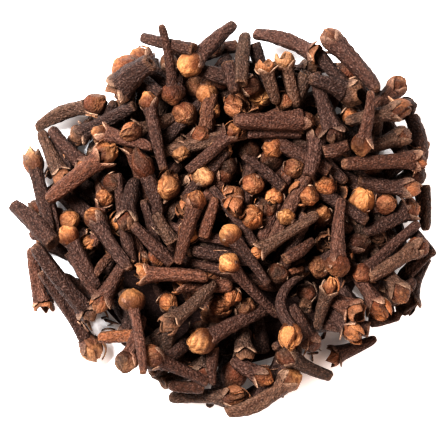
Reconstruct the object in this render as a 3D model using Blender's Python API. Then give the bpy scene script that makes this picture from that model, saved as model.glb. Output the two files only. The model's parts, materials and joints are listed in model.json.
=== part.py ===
"""Loose heap of dried whole cloves, as it lies on a flat surface.

One solid, clove_heap: a low bumpy core with the cloves that show fused on, out to the heap's uneven outline.
The heap is laid clove by clove over a height map, so that each one rests on what is already there.
Sizes and places here are in millimetres. The mesh is made in metres, with the origin at the middle of the base.
"""
import math
import random
from dataclasses import dataclass

import bmesh
import bpy
import numpy as np
from mathutils import Matrix, Vector

MM = 0.001

# The heap
HEAP_RADIUS = 41.0
FILL_RADIUS = 35.0
FILL_HEIGHT = 18.0
EDGE_HEIGHT = 5.0
FILL_CURVE = 2.2
CORE_RADIUS = 31.0
CORE_HEIGHT = 9.5
CORE_CURVE = 0.7
MIDDLE_X = 0.07
MIDDLE_Y = -0.48

# The mean clove
CLOVE_LENGTH = 15.0
CLOVE_LENGTH_SPREAD = 1.5
BALL_DIAMETER = 4.4
BALL_SPREAD = 0.4
STEM_DIAMETER = 3.0
STEM_SPREAD = 0.3
TAIL_TAPER = 0.72
SETTLE = 0.3
WEDGE = 1.0
BALANCE = 0.55
MAX_TILT = 0.45

# Where a clove's width changes, in shares of its length, and its width there in shares of its stem or ball
BARE_PLACES = (0.0, 0.1, 1.0)
BARE_WIDTHS = (0.6, 0.9, 0.9)
TAIL_END = 0.08
NECK_FLARE = 0.1
NECK_BACK = 2.1
STEM_WIDTHS = (0.5, TAIL_TAPER, 1.0)
BALL_WIDTHS = (1.05, 1.0, 0.35)

# How the heap is laid
SEED = 27
CELL = 0.5
MAP_REACH = 52.0
STATION = 0.8
ACROSS = (-0.85, -0.45, 0.0, 0.45, 0.85)
GAP_SLOPE = 4.0
TRIES = 30
BASE_CLOVES = 60
BASE_RING = (28.0, 37.0)
UNDER_CLOVES = 150
UNDER_LIMIT = 0.0
PLUG_CLOVES = 30
LAST_CLOVES = 80
LAST_LIMIT = 4.0
HIDING_COST = 14.0
GAP_COST = 60.0
TILT_COST = 4.0
OUTSIDE_COST = 4.0
LOOSE_INSET = 1.5
UPRIGHT_LENGTH = 13.0
UPRIGHT_STEM = 2.7
UPRIGHT_DROP = 0.88
UPRIGHT_TAIL = 2.0
UPRIGHT_RISE = 0.75
UPRIGHT_BELOW_FILL = 1.5
BALL_SPOT = 1.6

# How often each colour and kind is drawn among the loose cloves, and each kind among those that stand
COLOUR_WEIGHTS = {"tan": 16, "brown": 44, "orange": 10, "dark": 26, "bright": 4}
LOOSE_WEIGHTS = {"ball": 50, "open": 16, "bud": 8, "crumpled": 14, "stem": 12}
PLUG_WEIGHTS = {"ball": 35, "open": 20, "bud": 10, "crumpled": 35}

# The fused solid
SHOWN_CLOVES = 94
SHOWN_CELLS = 14
CROWDING = 0.75
CROWDING_REACH = 1.5
CORE_DEPTH = 2.8
CORE_INSET = 1.8
CORE_JUT = 1.0
CORE_SIDES = 34
CORE_RINGS = 14
CORE_RIM = 1.2
CORE_BELOW_AXIS = 0.5
CORE_HOLD = 1.0
CORE_BLUR = 1.5
CLOVE_SIDES = 8
CLOVE_ROLL = 15.0
NECK_LENGTH = 1.8
STEM_END = 0.83
SOLVER = "EXACT"
WELD = 1e-6
FLAT = 1e-6

# Sections of each kind of head in shares of the ball's radius: how far back from the tip, how wide, and how far every
# other corner stands out; then how far the head's end lies beyond the tip
BALL_SECTIONS = ((1.9, 0.8, 1.56), (1.0, 1.0, 1.0), (0.25, 0.6, 1.0))
HEAD_SECTIONS = {
    "ball": BALL_SECTIONS,
    "crumpled": BALL_SECTIONS,
    "open": ((0.9, 0.85, 1.0), (0.0, 0.75, 1.67)),
    "bud": ((1.9, 1.0, 1.0), (0.8, 0.75, 1.0)),
}
HEAD_END = {"ball": 0.0, "crumpled": 0.0, "open": -0.7, "bud": 0.2}

# Cloves round the edge, lowest first: colour and kind, the ball's middle, the tail's end, the ball's and the stem's
# diameter, and for some how far the middle bends to the left on the way to the head
EDGE_CLOVES = (
    ("dark crumpled", 37.6, 22.4, 29.0, 18.0, 4.4, 3.4),
    ("dark ball", 39.4, 8.4, 30.0, 4.6, 4.6, 3.2),
    ("dark ball", 25.2, 29.4, 20.4, 20.6, 4.6, 3.6),
    ("dark stem", 6.2, 34.8, 9.4, 26.0, 0.0, 2.8),
    ("dark crumpled", 38.0, -18.0, 41.9, -8.6, 4.4, 3.6),
    ("dark stem", 42.6, -6.6, 36.0, -14.0, 0.0, 3.4),
    ("dark open", 40.4, 14.6, 33.4, 8.2, 4.2, 3.4),
    ("dark stem", 24.0, 12.0, 27.5, 22.0, 0.0, 3.2),
    ("dark stem", 33.0, 19.5, 37.5, 11.5, 0.0, 3.4),
    ("dark stem", 19.5, 32.8, 25.0, 27.0, 0.0, 3.0),
    ("dark stem", 27.0, 27.6, 31.5, 20.0, 0.0, 3.2),
    ("dark stem", 33.5, -6.5, 30.0, -16.0, 0.0, 3.4),
    ("dark stem", 17.0, 29.0, 14.0, 20.5, 0.0, 3.2),
    ("dark stem", -31.0, -7.5, -25.6, -16.5, 0.0, 3.4),
    ("dark stem", -34.6, 17.0, -31.0, 6.0, 0.0, 2.8),
    ("brown stem", -36.0, 4.5, -34.0, -4.0, 0.0, 3.0),
    ("dark ball", 30.0, 14.0, 31.8, 25.6, 4.4, 3.2),
    ("dark stem", 39.0, 20.4, 41.2, 11.4, 0.0, 3.2),
    ("dark stem", 41.2, 6.4, 42.0, -3.0, 0.0, 3.2),
    ("dark stem", 38.8, -2.6, 43.4, -8.0, 0.0, 2.8),
    ("dark stem", 30.6, -21.6, 36.4, -20.6, 0.0, 3.0),
    ("dark ball", 34.6, -16.6, 39.4, -13.0, 4.2, 3.0),
    ("brown ball", 22.3, 35.8, 31.2, 25.2, 4.9, 3.6),
    ("pale open", 12.4, 31.6, 14.9, 22.0, 4.0, 2.8),
    ("tan open", 8.4, 30.4, 10.8, 22.6, 4.0, 2.6),
    ("dark stem", 1.0, 30.8, 2.4, 24.6, 0.0, 2.8),
    ("brown open", 19.2, 32.7, 6.4, 37.4, 4.2, 3.1, 0.8),
    ("dark stem", 3.6, 26.4, 4.6, 37.0, 0.0, 3.0),
    ("bright ball", -6.5, 30.7, 2.4, 39.2, 5.2, 3.3),
    ("dark stem", -5.8, 33.4, -16.5, 36.3, 0.0, 2.8),
    ("tan crumpled", -16.6, 32.4, -10.6, 26.4, 4.6, 3.2),
    ("orange ball", -19.4, 29.8, -12.6, 24.4, 6.2, 3.4),
    ("dark open", -21.6, 25.4, -14.4, 31.0, 5.4, 5.0),
    ("brown open", -32.7, 7.8, -37.5, 17.4, 4.0, 3.0),
    ("brown open", -28.0, 10.2, -35.4, 18.0, 4.0, 2.9),
    ("brown ball", -26.3, 22.9, -38.6, 18.1, 5.0, 3.2, 1.0),
    ("pale bud", -39.2, 11.8, -35.0, -3.4, 4.5, 3.0),
    ("brown stem", -34.4, -5.6, -43.0, 2.4, 0.0, 3.9),
    ("brown open", -37.0, -19.0, -39.5, -6.4, 4.2, 3.1),
    ("dark open", -27.1, -20.0, -38.3, -5.8, 4.2, 3.6),
    ("pale crumpled", -27.3, -26.9, -37.4, -11.4, 5.4, 2.7),
    ("orange twig", -18.0, -24.4, -25.2, -24.9, 0.0, 2.8),
    ("dull ball", -19.4, -29.3, -16.4, -20.4, 4.6, 2.6),
    ("dark stem", -4.0, -34.6, -11.2, -34.3, 0.0, 2.8),
    ("brown ball", -14.2, -28.6, -3.3, -33.8, 5.4, 2.9),
    ("brown crumpled", 2.1, -36.9, -11.0, -37.5, 4.8, 3.2),
    ("bright ball", 13.8, -33.3, 0.6, -40.0, 4.9, 3.4, -1.3),
    ("orange ball", 8.2, -32.8, 1.6, -29.4, 4.2, 3.0),
    ("dark stem", -2.0, -26.6, -2.1, -34.4, 0.0, 2.4),
    ("dark open", 4.5, -28.6, 3.8, -20.4, 3.8, 3.4),
    ("dark stem", 8.2, -27.8, 7.2, -20.6, 0.0, 3.3),
    ("dark ball", 13.0, -28.4, 22.0, -32.8, 4.2, 3.0),
    ("brown open", 22.3, -29.1, 31.7, -25.3, 4.2, 2.9),
    ("dark stem", 29.6, -23.0, 18.6, -21.2, 0.0, 3.2),
    ("tan crumpled", 25.8, -23.4, 20.0, -17.6, 4.0, 2.8),
    ("dark ball", 17.7, -25.4, 14.0, -18.0, 4.0, 3.2),
    ("brown open", 27.0, -19.4, 19.8, -15.6, 4.6, 3.8),
    ("orange crumpled", 31.7, -18.8, 26.0, -9.6, 4.8, 3.0),
    ("brown ball", 36.1, -15.6, 30.4, -6.0, 4.6, 3.0),
    ("red ball", 28.3, -11.6, 40.2, -1.4, 3.8, 2.5),
    ("red ball", 40.0, -6.4, 29.6, -12.6, 4.2, 3.0),
    ("orange ball", 38.3, 1.3, 28.6, -3.4, 4.4, 3.0),
    ("brown crumpled", 38.0, 5.5, 27.6, 7.4, 4.2, 3.0),
    ("brown ball", 36.2, 16.2, 27.4, 12.6, 4.4, 3.0),
    ("orange ball", 35.4, 26.4, 28.0, 17.4, 4.4, 3.0),
    ("brown crumpled", 35.5, 21.2, 24.6, 19.0, 4.4, 3.0),
)

# Cloves on top, lowest first, in the same form
TOP_CLOVES = (
    ("dark open", -29.4, 16.6, -17.8, 22.4, 4.2, 3.0),
    ("tan ball", -24.8, 16.8, -14.0, 13.6, 4.0, 2.8),
    ("brown crumpled", -18.3, 16.9, -9.4, 20.2, 4.4, 2.8),
    ("brown ball", -10.1, 25.0, -12.4, 38.4, 4.8, 2.2),
    ("tan ball", -15.1, 23.2, -11.9, 9.2, 3.8, 2.5),
    ("tan crumpled", -23.6, 12.6, -35.8, 3.2, 4.8, 3.6),
    ("dark crumpled", -19.4, -1.0, -17.8, 7.6, 4.0, 3.2),
    ("dark bud", -16.6, 11.4, -12.6, 0.2, 4.6, 3.0),
    ("brown stem", -10.0, -5.4, -13.6, 0.6, 0.0, 3.0),
    ("brown stem", -10.2, -9.4, -18.2, -1.6, 0.0, 2.9),
    ("tan ball", -31.4, -4.0, -25.2, -14.6, 4.2, 2.9),
    ("tan stem", -22.4, -7.8, -26.1, -12.6, 0.0, 2.0),
    ("brown crumpled", -24.6, -17.4, -19.6, -9.0, 4.0, 2.9),
    ("orange ball", -26.0, -0.6, -18.6, -10.8, 4.6, 3.1),
    ("tan open", -16.8, -11.8, -3.0, -12.4, 4.4, 3.0),
    ("bright ball", -18.3, -17.2, -15.9, -31.6, 5.0, 2.2),
    ("dark open", -11.0, -21.8, -1.6, -13.2, 4.4, 2.9),
    ("bright ball", -4.3, -25.3, 9.2, -18.9, 5.2, 3.2),
    ("brown stem", -4.0, -4.4, -1.5, 3.8, 0.0, 2.6),
    ("tan crumpled", 2.0, 17.0, -7.2, 9.0, 3.6, 2.6),
    ("brown stem", 12.2, 5.6, 3.9, 12.2, 0.0, 2.4),
    ("brown stem", 15.6, 16.8, 4.9, 16.4, 0.0, 2.6),
    ("brown ball", 16.8, 19.4, 2.2, 19.2, 3.6, 3.8),
    ("brown ball", 19.2, 16.4, 17.0, 8.0, 4.0, 3.2),
    ("dark crumpled", 22.6, 16.4, 18.6, 29.0, 4.0, 3.4),
    ("dark open", 26.1, 24.7, 17.4, 27.4, 5.4, 3.4),
    ("tan ball", 28.0, 14.4, 29.6, 25.0, 4.6, 2.4),
    ("dark stem", 20.4, 12.9, 25.4, 14.4, 0.0, 3.0),
    ("brown crumpled", 39.6, 11.4, 24.0, 10.4, 3.4, 3.2),
    ("brown ball", 23.1, -10.0, 24.0, 3.6, 5.0, 2.8),
    ("dark stem", 12.4, -8.8, 18.3, -4.8, 0.0, 2.6),
    ("tan crumpled", 6.8, -7.4, 19.2, 0.4, 2.6, 2.7),
    ("bright ball", 1.4, -3.8, 9.0, -13.8, 4.4, 2.5),
    ("bright ball", 1.3, -9.7, 11.5, -20.4, 4.4, 2.5),
    ("brown twig", 12.4, -11.6, 16.4, -10.6, 0.0, 1.6),
    ("bright crumpled", 13.6, -23.8, 15.4, -12.4, 4.8, 2.5, -3.0),
    ("tan crumpled", 21.4, -14.2, 19.0, -22.8, 3.6, 2.6),
)

# Cloves that stand head up among the others: colour and kind, the ball's middle, the tail's side, ball diameter
UPRIGHT_CLOVES = (
    ("tan ball", -31.4, -1.0, 200.0, 4.3),
    ("orange ball", -24.0, 3.8, 250.0, 3.7),
    ("tan ball", -11.1, 5.7, 20.0, 4.7),
    ("tan ball", -8.5, 12.9, 110.0, 4.2),
    ("pale ball", -4.1, 8.3, 300.0, 4.6),
    ("red ball", -4.4, 16.4, 200.0, 4.0),
    ("tan ball", -2.7, 21.6, 190.0, 4.4),
    ("brown ball", -2.7, 26.6, 60.0, 3.6),
    ("pale open", -0.6, 13.0, 80.0, 4.8),
    ("bright ball", 7.7, 24.6, 100.0, 4.8),
    ("brown ball", 12.4, 23.0, 60.0, 3.6),
    ("orange ball", 10.2, 13.8, 60.0, 4.4),
    ("dark ball", 0.8, 10.1, 280.0, 3.8),
    ("brown ball", 6.1, 6.4, 120.0, 4.2),
    ("tan crumpled", 10.2, 3.8, 30.0, 3.6),
    ("orange ball", 5.8, -0.3, 200.0, 5.0),
    ("bright ball", 12.7, -0.2, 300.0, 3.6),
    ("tan bud", 20.5, 0.6, 250.0, 3.6),
    ("brown open", 23.4, 5.0, 270.0, 4.0),
    ("brown open", 20.9, -5.6, 120.0, 3.8),
    ("bright ball", 28.4, 3.2, 240.0, 5.3),
    ("brown ball", 33.3, 2.6, 200.0, 4.4),
    ("orange ball", 26.1, 20.1, 110.0, 3.9),
    ("orange crumpled", 1.6, -16.5, 90.0, 3.8),
    ("orange ball", -11.1, -17.6, 120.0, 3.8),
    ("tan stem", 16.7, -18.4, 80.0, 3.4),
    ("tan crumpled", -27.4, -5.6, 20.0, 3.6),
)

# How far the heap reaches in each direction, every 15 degrees from +X towards +Y
OUTLINE = (42.2, 43.8, 45.0, 42.0, 43.5, 38.9, 39.2, 39.1, 37.5, 35.5, 42.0, 41.5) + (
    42.5, 41.0, 42.4, 39.5, 36.5, 39.5, 40.8, 39.8, 38.3, 39.7, 42.2, 43.8
)

# Where the surface below shows through the edge of the heap: middle and radius
GAPS = (
    (-30.5, 19.7, 2.2),
    (-4.6, 36.6, 2.6),
    (-0.6, 31.8, 1.6),
    (2.2, 34.0, 1.8),
    (10.6, 33.8, 2.4),
    (-23.4, -20.8, 2.8),
    (-22.6, -27.0, 2.2),
    (9.6, -28.6, 2.4),
    (4.2, -34.6, 1.8),
    (19.0, -28.0, 2.4),
    (23.4, -25.4, 1.6),
)


@dataclass
class Clove:
    """One clove: its kind, the two ends of its axis, and its sizes."""

    kind: str
    tail: tuple
    tip: tuple
    ball: float
    stem: float
    bend: float = 0.0
    tail_z: float = 0.0
    tip_z: float = 0.0

    @property
    def plan_length(self):
        """Length of the clove as seen from above."""
        return math.dist(self.tail, self.tip)

    def head_radius(self):
        """Largest radius of the head, or of the stem where there is no head."""
        return max(self.ball, self.stem) / 2

    def bow(self, share):
        """How far the stem bends to the left, at a share of the clove's length."""
        neck = 1.0 - self.ball / self.plan_length
        return self.bend * np.maximum(0.0, 1.0 - (2.0 * share / neck - 1.0) ** 2)


def width_profile(clove):
    """Give places along the axis, as shares of the length, and the clove's radius at each."""
    length = clove.plan_length
    stem = clove.stem / 2
    if clove.ball == 0.0:
        return BARE_PLACES, [stem * width for width in BARE_WIDTHS]
    ball = clove.ball / 2
    neck = 1.0 - NECK_BACK * ball / length
    places = (0.0, TAIL_END, neck - NECK_FLARE, neck, 1.0 - ball / length, 1.0)
    return places, [stem * width for width in STEM_WIDTHS] + [ball * width for width in BALL_WIDTHS]


def lie(kind, head_x, head_y, tail_x, tail_y, ball, stem, bend=0.0):
    """Make a lying clove from its ball's middle, its tail's end and its bend."""
    span = math.dist((head_x, head_y), (tail_x, tail_y))
    reach = (span + ball / 2) / span
    tip = (tail_x + (head_x - tail_x) * reach, tail_y + (head_y - tail_y) * reach)
    return Clove(kind, (tail_x, tail_y), tip, ball, stem, bend)


def beyond_outline(place):
    """How far a place lies outside the heap's outline, less what a loose clove keeps clear of it."""
    turn = math.degrees(math.atan2(place[1], place[0])) % 360.0
    step = 360.0 / len(OUTLINE)
    index = int(turn / step)
    share = turn / step - index
    outline = OUTLINE[index] * (1.0 - share) + OUTLINE[(index + 1) % len(OUTLINE)] * share
    return max(0.0, math.hypot(*place) - outline + LOOSE_INSET)


def fill_limit(x, y):
    """Height to which loose cloves fill the heap at a place."""
    share = min(1.0, math.hypot(x, y) / HEAP_RADIUS)
    return EDGE_HEIGHT + (FILL_HEIGHT - EDGE_HEIGHT) * (1.0 - share**FILL_CURVE)


def core_height(x, y):
    """Height of the packed middle of the heap, which only shows between the cloves."""
    share = np.minimum(1.0, np.hypot(x, y) / CORE_RADIUS)
    height = CORE_HEIGHT * (1.0 - share**2) ** CORE_CURVE
    for gap_x, gap_y, radius in GAPS:
        height = height * np.clip((np.hypot(x - gap_x, y - gap_y) - radius) / GAP_SLOPE, 0.0, 1.0)
    return height


class HeightMap:
    """Top of the heap over a square grid, and which clove is uppermost in each cell."""

    def __init__(self):
        count = int(2 * MAP_REACH / CELL) + 1
        axis = np.linspace(-MAP_REACH, MAP_REACH, count)
        self.x, self.y = np.meshgrid(axis, axis, indexing="ij")
        self.top = np.round(core_height(self.x, self.y), 3)
        self.owner = np.full((count, count), -1)
        self.kept = np.zeros((count, count), dtype=bool)
        self.gap = np.zeros((count, count), dtype=bool)
        for gap_x, gap_y, radius in GAPS:
            self.gap |= (self.x - gap_x) ** 2 + (self.y - gap_y) ** 2 < radius**2

    def cells(self, x, y):
        """Grid indices of places."""
        column = np.clip(np.rint((np.asarray(x) + MAP_REACH) / CELL).astype(int), 0, self.top.shape[0] - 1)
        row = np.clip(np.rint((np.asarray(y) + MAP_REACH) / CELL).astype(int), 0, self.top.shape[1] - 1)
        return column, row

    def footprint(self, clove):
        """Stations along a clove, the cells below it, and its half height over each."""
        share = np.linspace(0.02, 0.98, max(6, int(clove.plan_length / STATION)))
        places, radii = width_profile(clove)
        radius = np.interp(share, places, radii)
        across = np.array(ACROSS)
        run_x = clove.tip[0] - clove.tail[0]
        run_y = clove.tip[1] - clove.tail[1]
        length = clove.plan_length
        side = radius[:, None] * across[None, :] + clove.bow(share)[:, None]
        x = clove.tail[0] + share[:, None] * run_x - side * run_y / length
        y = clove.tail[1] + share[:, None] * run_y + side * run_x / length
        rise = radius[:, None] * np.sqrt(1.0 - across[None, :] ** 2)
        return share, radius, self.cells(x, y), rise

    def rest(self, clove):
        """Lower a lying clove until two points of it, either side of its middle, carry it."""
        share, radius, cells, rise = self.footprint(clove)
        needed = np.maximum((self.top[cells] + rise - SETTLE).max(axis=1), radius)
        needed = np.round(needed, 3)
        before = share <= BALANCE
        low_share, low_height = share[before][:, None], needed[before][:, None]
        high_share, high_height = share[~before][None, :], needed[~before][None, :]
        slope = (high_height - low_height) / (high_share - low_share)
        middle = low_height + slope * (BALANCE - low_share)
        low, high = np.unravel_index(np.argmax(np.round(middle, 3)), middle.shape)
        most = MAX_TILT * clove.plan_length
        tilt = float(np.clip(slope[low, high], -most, most))
        centre = float(middle[low, high])
        if abs(tilt) == most:
            centre = float(np.max(needed - tilt * (share - BALANCE))) - WEDGE
        clove.tail_z = centre - tilt * BALANCE
        clove.tip_z = centre + tilt * (1.0 - BALANCE)
        lift = max(0.0, clove.stem / 2 - clove.tail_z, clove.head_radius() - clove.tip_z)
        clove.tail_z += lift
        clove.tip_z += lift

    def spot(self, x, y):
        """Cells below a ball."""
        reach = np.array([-BALL_SPOT, 0.0, BALL_SPOT])
        return self.cells(x + reach[:, None] + 0.0 * reach, y + reach + 0.0 * reach[:, None])

    def ground(self, x, y):
        """Mean height of the heap where a ball would sit."""
        return float(np.round(self.top[self.spot(x, y)].mean(), 3))

    def blocked(self, x, y):
        """Share of a ball's place that kept cloves or a gap hold."""
        spot = self.spot(x, y)
        return float((self.kept[spot] | self.gap[spot]).mean())

    def cost(self, clove):
        """How far a clove would lie above the fill limit, more where it hides a clove or a gap or sticks out."""
        cells = self.footprint(clove)[2]
        x = (clove.tail[0] + clove.tip[0]) / 2
        y = (clove.tail[1] + clove.tip[1]) / 2
        height = max(clove.tail_z, clove.tip_z) + clove.head_radius()
        hidden = float(self.kept[cells].mean())
        open_share = float(self.gap[cells].mean())
        tilt = abs(clove.tip_z - clove.tail_z) / clove.plan_length
        outside = beyond_outline(clove.tail) + beyond_outline(clove.tip)
        cost = height - fill_limit(x, y) + TILT_COST * tilt + OUTSIDE_COST * outside
        return cost + HIDING_COST * hidden + GAP_COST * open_share

    def add(self, clove, number, keep):
        """Raise the map to a clove's upper side."""
        run_x = clove.tip[0] - clove.tail[0]
        run_y = clove.tip[1] - clove.tail[1]
        length = clove.plan_length
        reach = clove.head_radius() + abs(clove.bend)
        low_x, low_y = self.cells(min(clove.tail[0], clove.tip[0]) - reach, min(clove.tail[1], clove.tip[1]) - reach)
        high_x, high_y = self.cells(max(clove.tail[0], clove.tip[0]) + reach, max(clove.tail[1], clove.tip[1]) + reach)
        window = (slice(int(low_x), int(high_x) + 1), slice(int(low_y), int(high_y) + 1))
        x = self.x[window] - clove.tail[0]
        y = self.y[window] - clove.tail[1]
        along = (x * run_x + y * run_y) / length**2
        across = (x * run_y - y * run_x) / length + clove.bow(along)
        places, radii = width_profile(clove)
        radius = np.interp(along, places, radii)
        inside = (along > 0.0) & (along < 1.0) & (np.abs(across) < radius)
        rise = np.sqrt(np.maximum(radius**2 - across**2, 0.0))
        surface = clove.tail_z + (clove.tip_z - clove.tail_z) * along + rise
        higher = inside & (surface > self.top[window])
        self.top[window][higher] = surface[higher]
        self.owner[window][higher] = number
        if keep:
            self.kept[window][higher] = True


def random_kind(draw, weights):
    """Choose a colour and a kind, and a ball diameter to suit."""
    kind = draw.choices(tuple(weights), weights=tuple(weights.values()))[0]
    colour = draw.choices(tuple(COLOUR_WEIGHTS), weights=tuple(COLOUR_WEIGHTS.values()))[0]
    ball = 0.0 if kind == "stem" else draw.gauss(BALL_DIAMETER, BALL_SPREAD)
    return f"{colour} {kind}", ball


def random_place(draw):
    """Choose a place in the heap, as likely anywhere."""
    radius = FILL_RADIUS * math.sqrt(draw.random())
    place = draw.uniform(0.0, 2 * math.pi)
    return radius * math.cos(place), radius * math.sin(place)


def random_clove(draw):
    """Make a loose clove somewhere in the heap."""
    x, y = random_place(draw)
    heading = draw.uniform(0.0, 2 * math.pi)
    length = draw.gauss(CLOVE_LENGTH, CLOVE_LENGTH_SPREAD)
    kind, ball = random_kind(draw, LOOSE_WEIGHTS)
    stem = draw.gauss(STEM_DIAMETER, STEM_SPREAD)
    half_x = length / 2 * math.cos(heading)
    half_y = length / 2 * math.sin(heading)
    return Clove(kind, (x - half_x, y - half_y), (x + half_x, y + half_y), ball, stem)


def lay_loose(heap, cloves, draw, count, limit):
    """Lay loose cloves, each in the lowest of several places, while one stays below the limit."""
    for _ in range(count):
        options = []
        for _ in range(TRIES):
            clove = random_clove(draw)
            heap.rest(clove)
            options.append((round(heap.cost(clove), 3), clove))
        cost, clove = min(options, key=lambda option: option[0])
        if cost < limit:
            heap.add(clove, len(cloves), keep=False)
            cloves.append(clove)


def lay_base(heap, cloves, draw):
    """Lay a ring of dark cloves flat under the edge of the heap, clear of its outline and its gaps."""
    for number in range(BASE_CLOVES):
        turn = 2 * math.pi * number / BASE_CLOVES
        options = []
        for _ in range(TRIES):
            clove = random_clove(draw)
            radius = draw.uniform(*BASE_RING)
            along_x = radius * math.cos(turn) - (clove.tail[0] + clove.tip[0]) / 2
            along_y = radius * math.sin(turn) - (clove.tail[1] + clove.tip[1]) / 2
            tail = (clove.tail[0] + along_x, clove.tail[1] + along_y)
            tip = (clove.tip[0] + along_x, clove.tip[1] + along_y)
            clove = Clove("dark " + clove.kind.split()[1], tail, tip, clove.ball, clove.stem)
            heap.rest(clove)
            options.append((round(heap.cost(clove), 3), clove))
        clove = min(options, key=lambda option: option[0])[1]
        heap.add(clove, len(cloves), keep=False)
        cloves.append(clove)


def stand(kind, x, y, side, ball, tip_z):
    """Make a clove that stands head up, with its tail sunk in the heap towards one side."""
    drop = min(UPRIGHT_LENGTH * UPRIGHT_DROP, tip_z - UPRIGHT_TAIL)
    lean = math.sqrt(UPRIGHT_LENGTH**2 - drop**2)
    out_x = math.cos(math.radians(side))
    out_y = math.sin(math.radians(side))
    over = ball / 2 * lean / UPRIGHT_LENGTH
    tip = (x - out_x * over, y - out_y * over)
    tail = (tip[0] + out_x * lean, tip[1] + out_y * lean)
    clove = Clove(kind, tail, tip, ball, UPRIGHT_STEM)
    clove.tip_z = tip_z
    clove.tail_z = tip_z - drop
    return clove


def lay_plugs(heap, cloves, draw, count):
    """Stand loose cloves head up in the deepest holes."""
    for _ in range(count):
        places = [random_place(draw) for _ in range(TRIES)]
        depths = [round(heap.ground(x, y) - fill_limit(x, y) + HIDING_COST * heap.blocked(x, y), 3) for x, y in places]
        x, y = places[depths.index(min(depths))]
        kind, ball = random_kind(draw, PLUG_WEIGHTS)
        clove = stand(kind, x, y, draw.uniform(0.0, 360.0), ball, heap.ground(x, y) + UPRIGHT_RISE * ball)
        heap.add(clove, len(cloves), keep=False)
        cloves.append(clove)


def lay_heap():
    """Lay the whole heap and give its height map and its cloves."""
    draw = random.Random(SEED)
    heap = HeightMap()
    cloves = []
    lay_base(heap, cloves, draw)
    for row in EDGE_CLOVES:
        clove = lie(*row)
        heap.rest(clove)
        heap.add(clove, len(cloves), keep=True)
        cloves.append(clove)
    lay_loose(heap, cloves, draw, UNDER_CLOVES, UNDER_LIMIT)
    for kind, x, y, side, ball in UPRIGHT_CLOVES:
        tip_z = max(heap.ground(x, y) + UPRIGHT_RISE * ball, fill_limit(x, y) - UPRIGHT_BELOW_FILL)
        clove = stand(kind, x, y, side, ball, tip_z)
        heap.add(clove, len(cloves), keep=True)
        cloves.append(clove)
    for row in TOP_CLOVES:
        clove = lie(*row)
        heap.rest(clove)
        heap.add(clove, len(cloves), keep=True)
        cloves.append(clove)
    lay_plugs(heap, cloves, draw, PLUG_CLOVES)
    lay_loose(heap, cloves, draw, LAST_CLOVES, LAST_LIMIT)
    return heap, cloves


def clove_rings(clove, length):
    """Sections of a clove from tail to tip: place along it, radius, and how far every other corner stands out."""
    stem = clove.stem / 2
    kind = clove.kind.split()[1]
    if kind in ("stem", "twig"):
        return [(0.0, stem * STEM_END, 1.0), (length / 2, stem, 1.0), (length, stem * STEM_END, 1.0)]
    ball = clove.ball / 2
    shoulder = length - 2 * ball - NECK_LENGTH
    rings = [(0.0, stem * TAIL_TAPER, 1.0), (shoulder, stem, 1.0)]
    if clove.bend:
        rings.insert(1, (shoulder / 2, stem, 1.0))
    for back, radius, point in HEAD_SECTIONS[kind]:
        rings.append((length - back * ball, radius * ball, point))
    return rings


def clove_end(clove, length):
    """Place along the axis of the middle of the head's end, which is sunk in an open head."""
    return length + HEAD_END.get(clove.kind.split()[1], 0.0) * clove.ball / 2


def clove_mesh(clove, roll):
    """Loft a clove through its sections, with eight sides, and bow its stem."""
    tail = Vector((*clove.tail, clove.tail_z))
    run = Vector((*clove.tip, clove.tip_z)) - tail
    turn = run.to_track_quat("X", "Z").to_matrix().to_4x4()
    place = Matrix.Scale(MM, 4) @ Matrix.Translation(tail - Vector((MIDDLE_X, MIDDLE_Y, 0.0)))
    place = place @ turn
    mesh = bmesh.new()
    loops = []
    for along, radius, point in clove_rings(clove, run.length):
        loop = []
        bow = float(clove.bow(along / run.length))
        for side in range(CLOVE_SIDES):
            angle = roll + 2 * math.pi * side / CLOVE_SIDES
            reach = radius * (point if side % 2 else 1.0)
            spot = place @ Vector((along, bow + reach * math.cos(angle), reach * math.sin(angle)))
            spot.z = max(spot.z, 0.0)
            loop.append(mesh.verts.new(spot))
        loops.append(loop)
    for lower, upper in zip(loops, loops[1:]):
        for side in range(CLOVE_SIDES):
            after = (side + 1) % CLOVE_SIDES
            mesh.faces.new((lower[side], lower[after], upper[after], upper[side]))
    mesh.faces.new(loops[0][::-1])
    end = mesh.verts.new(place @ Vector((clove_end(clove, run.length), 0.0, 0.0)))
    for side in range(CLOVE_SIDES):
        mesh.faces.new((loops[-1][side], loops[-1][(side + 1) % CLOVE_SIDES], end))
    bmesh.ops.triangulate(mesh, faces=mesh.faces[:])
    return mesh


def core_edge(heap):
    """How far the core reaches in each direction, inside the heap's uneven outline."""
    covered = heap.owner >= 0
    away = np.hypot(heap.x, heap.y)
    heading = np.arctan2(heap.y, heap.x)
    reach = []
    for side in range(CORE_SIDES):
        angle = 2 * math.pi * side / CORE_SIDES
        apart = np.abs(np.angle(np.exp(1j * (heading - angle))))
        reach.append(float(away[covered & (apart < math.pi / CORE_SIDES)].max()))
    around = [sum(reach[(side + step) % CORE_SIDES] for step in (-2, -1, 1, 2)) / 4 for side in range(CORE_SIDES)]
    return [min(own, near + CORE_JUT) - CORE_INSET for own, near in zip(reach, around)]


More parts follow.
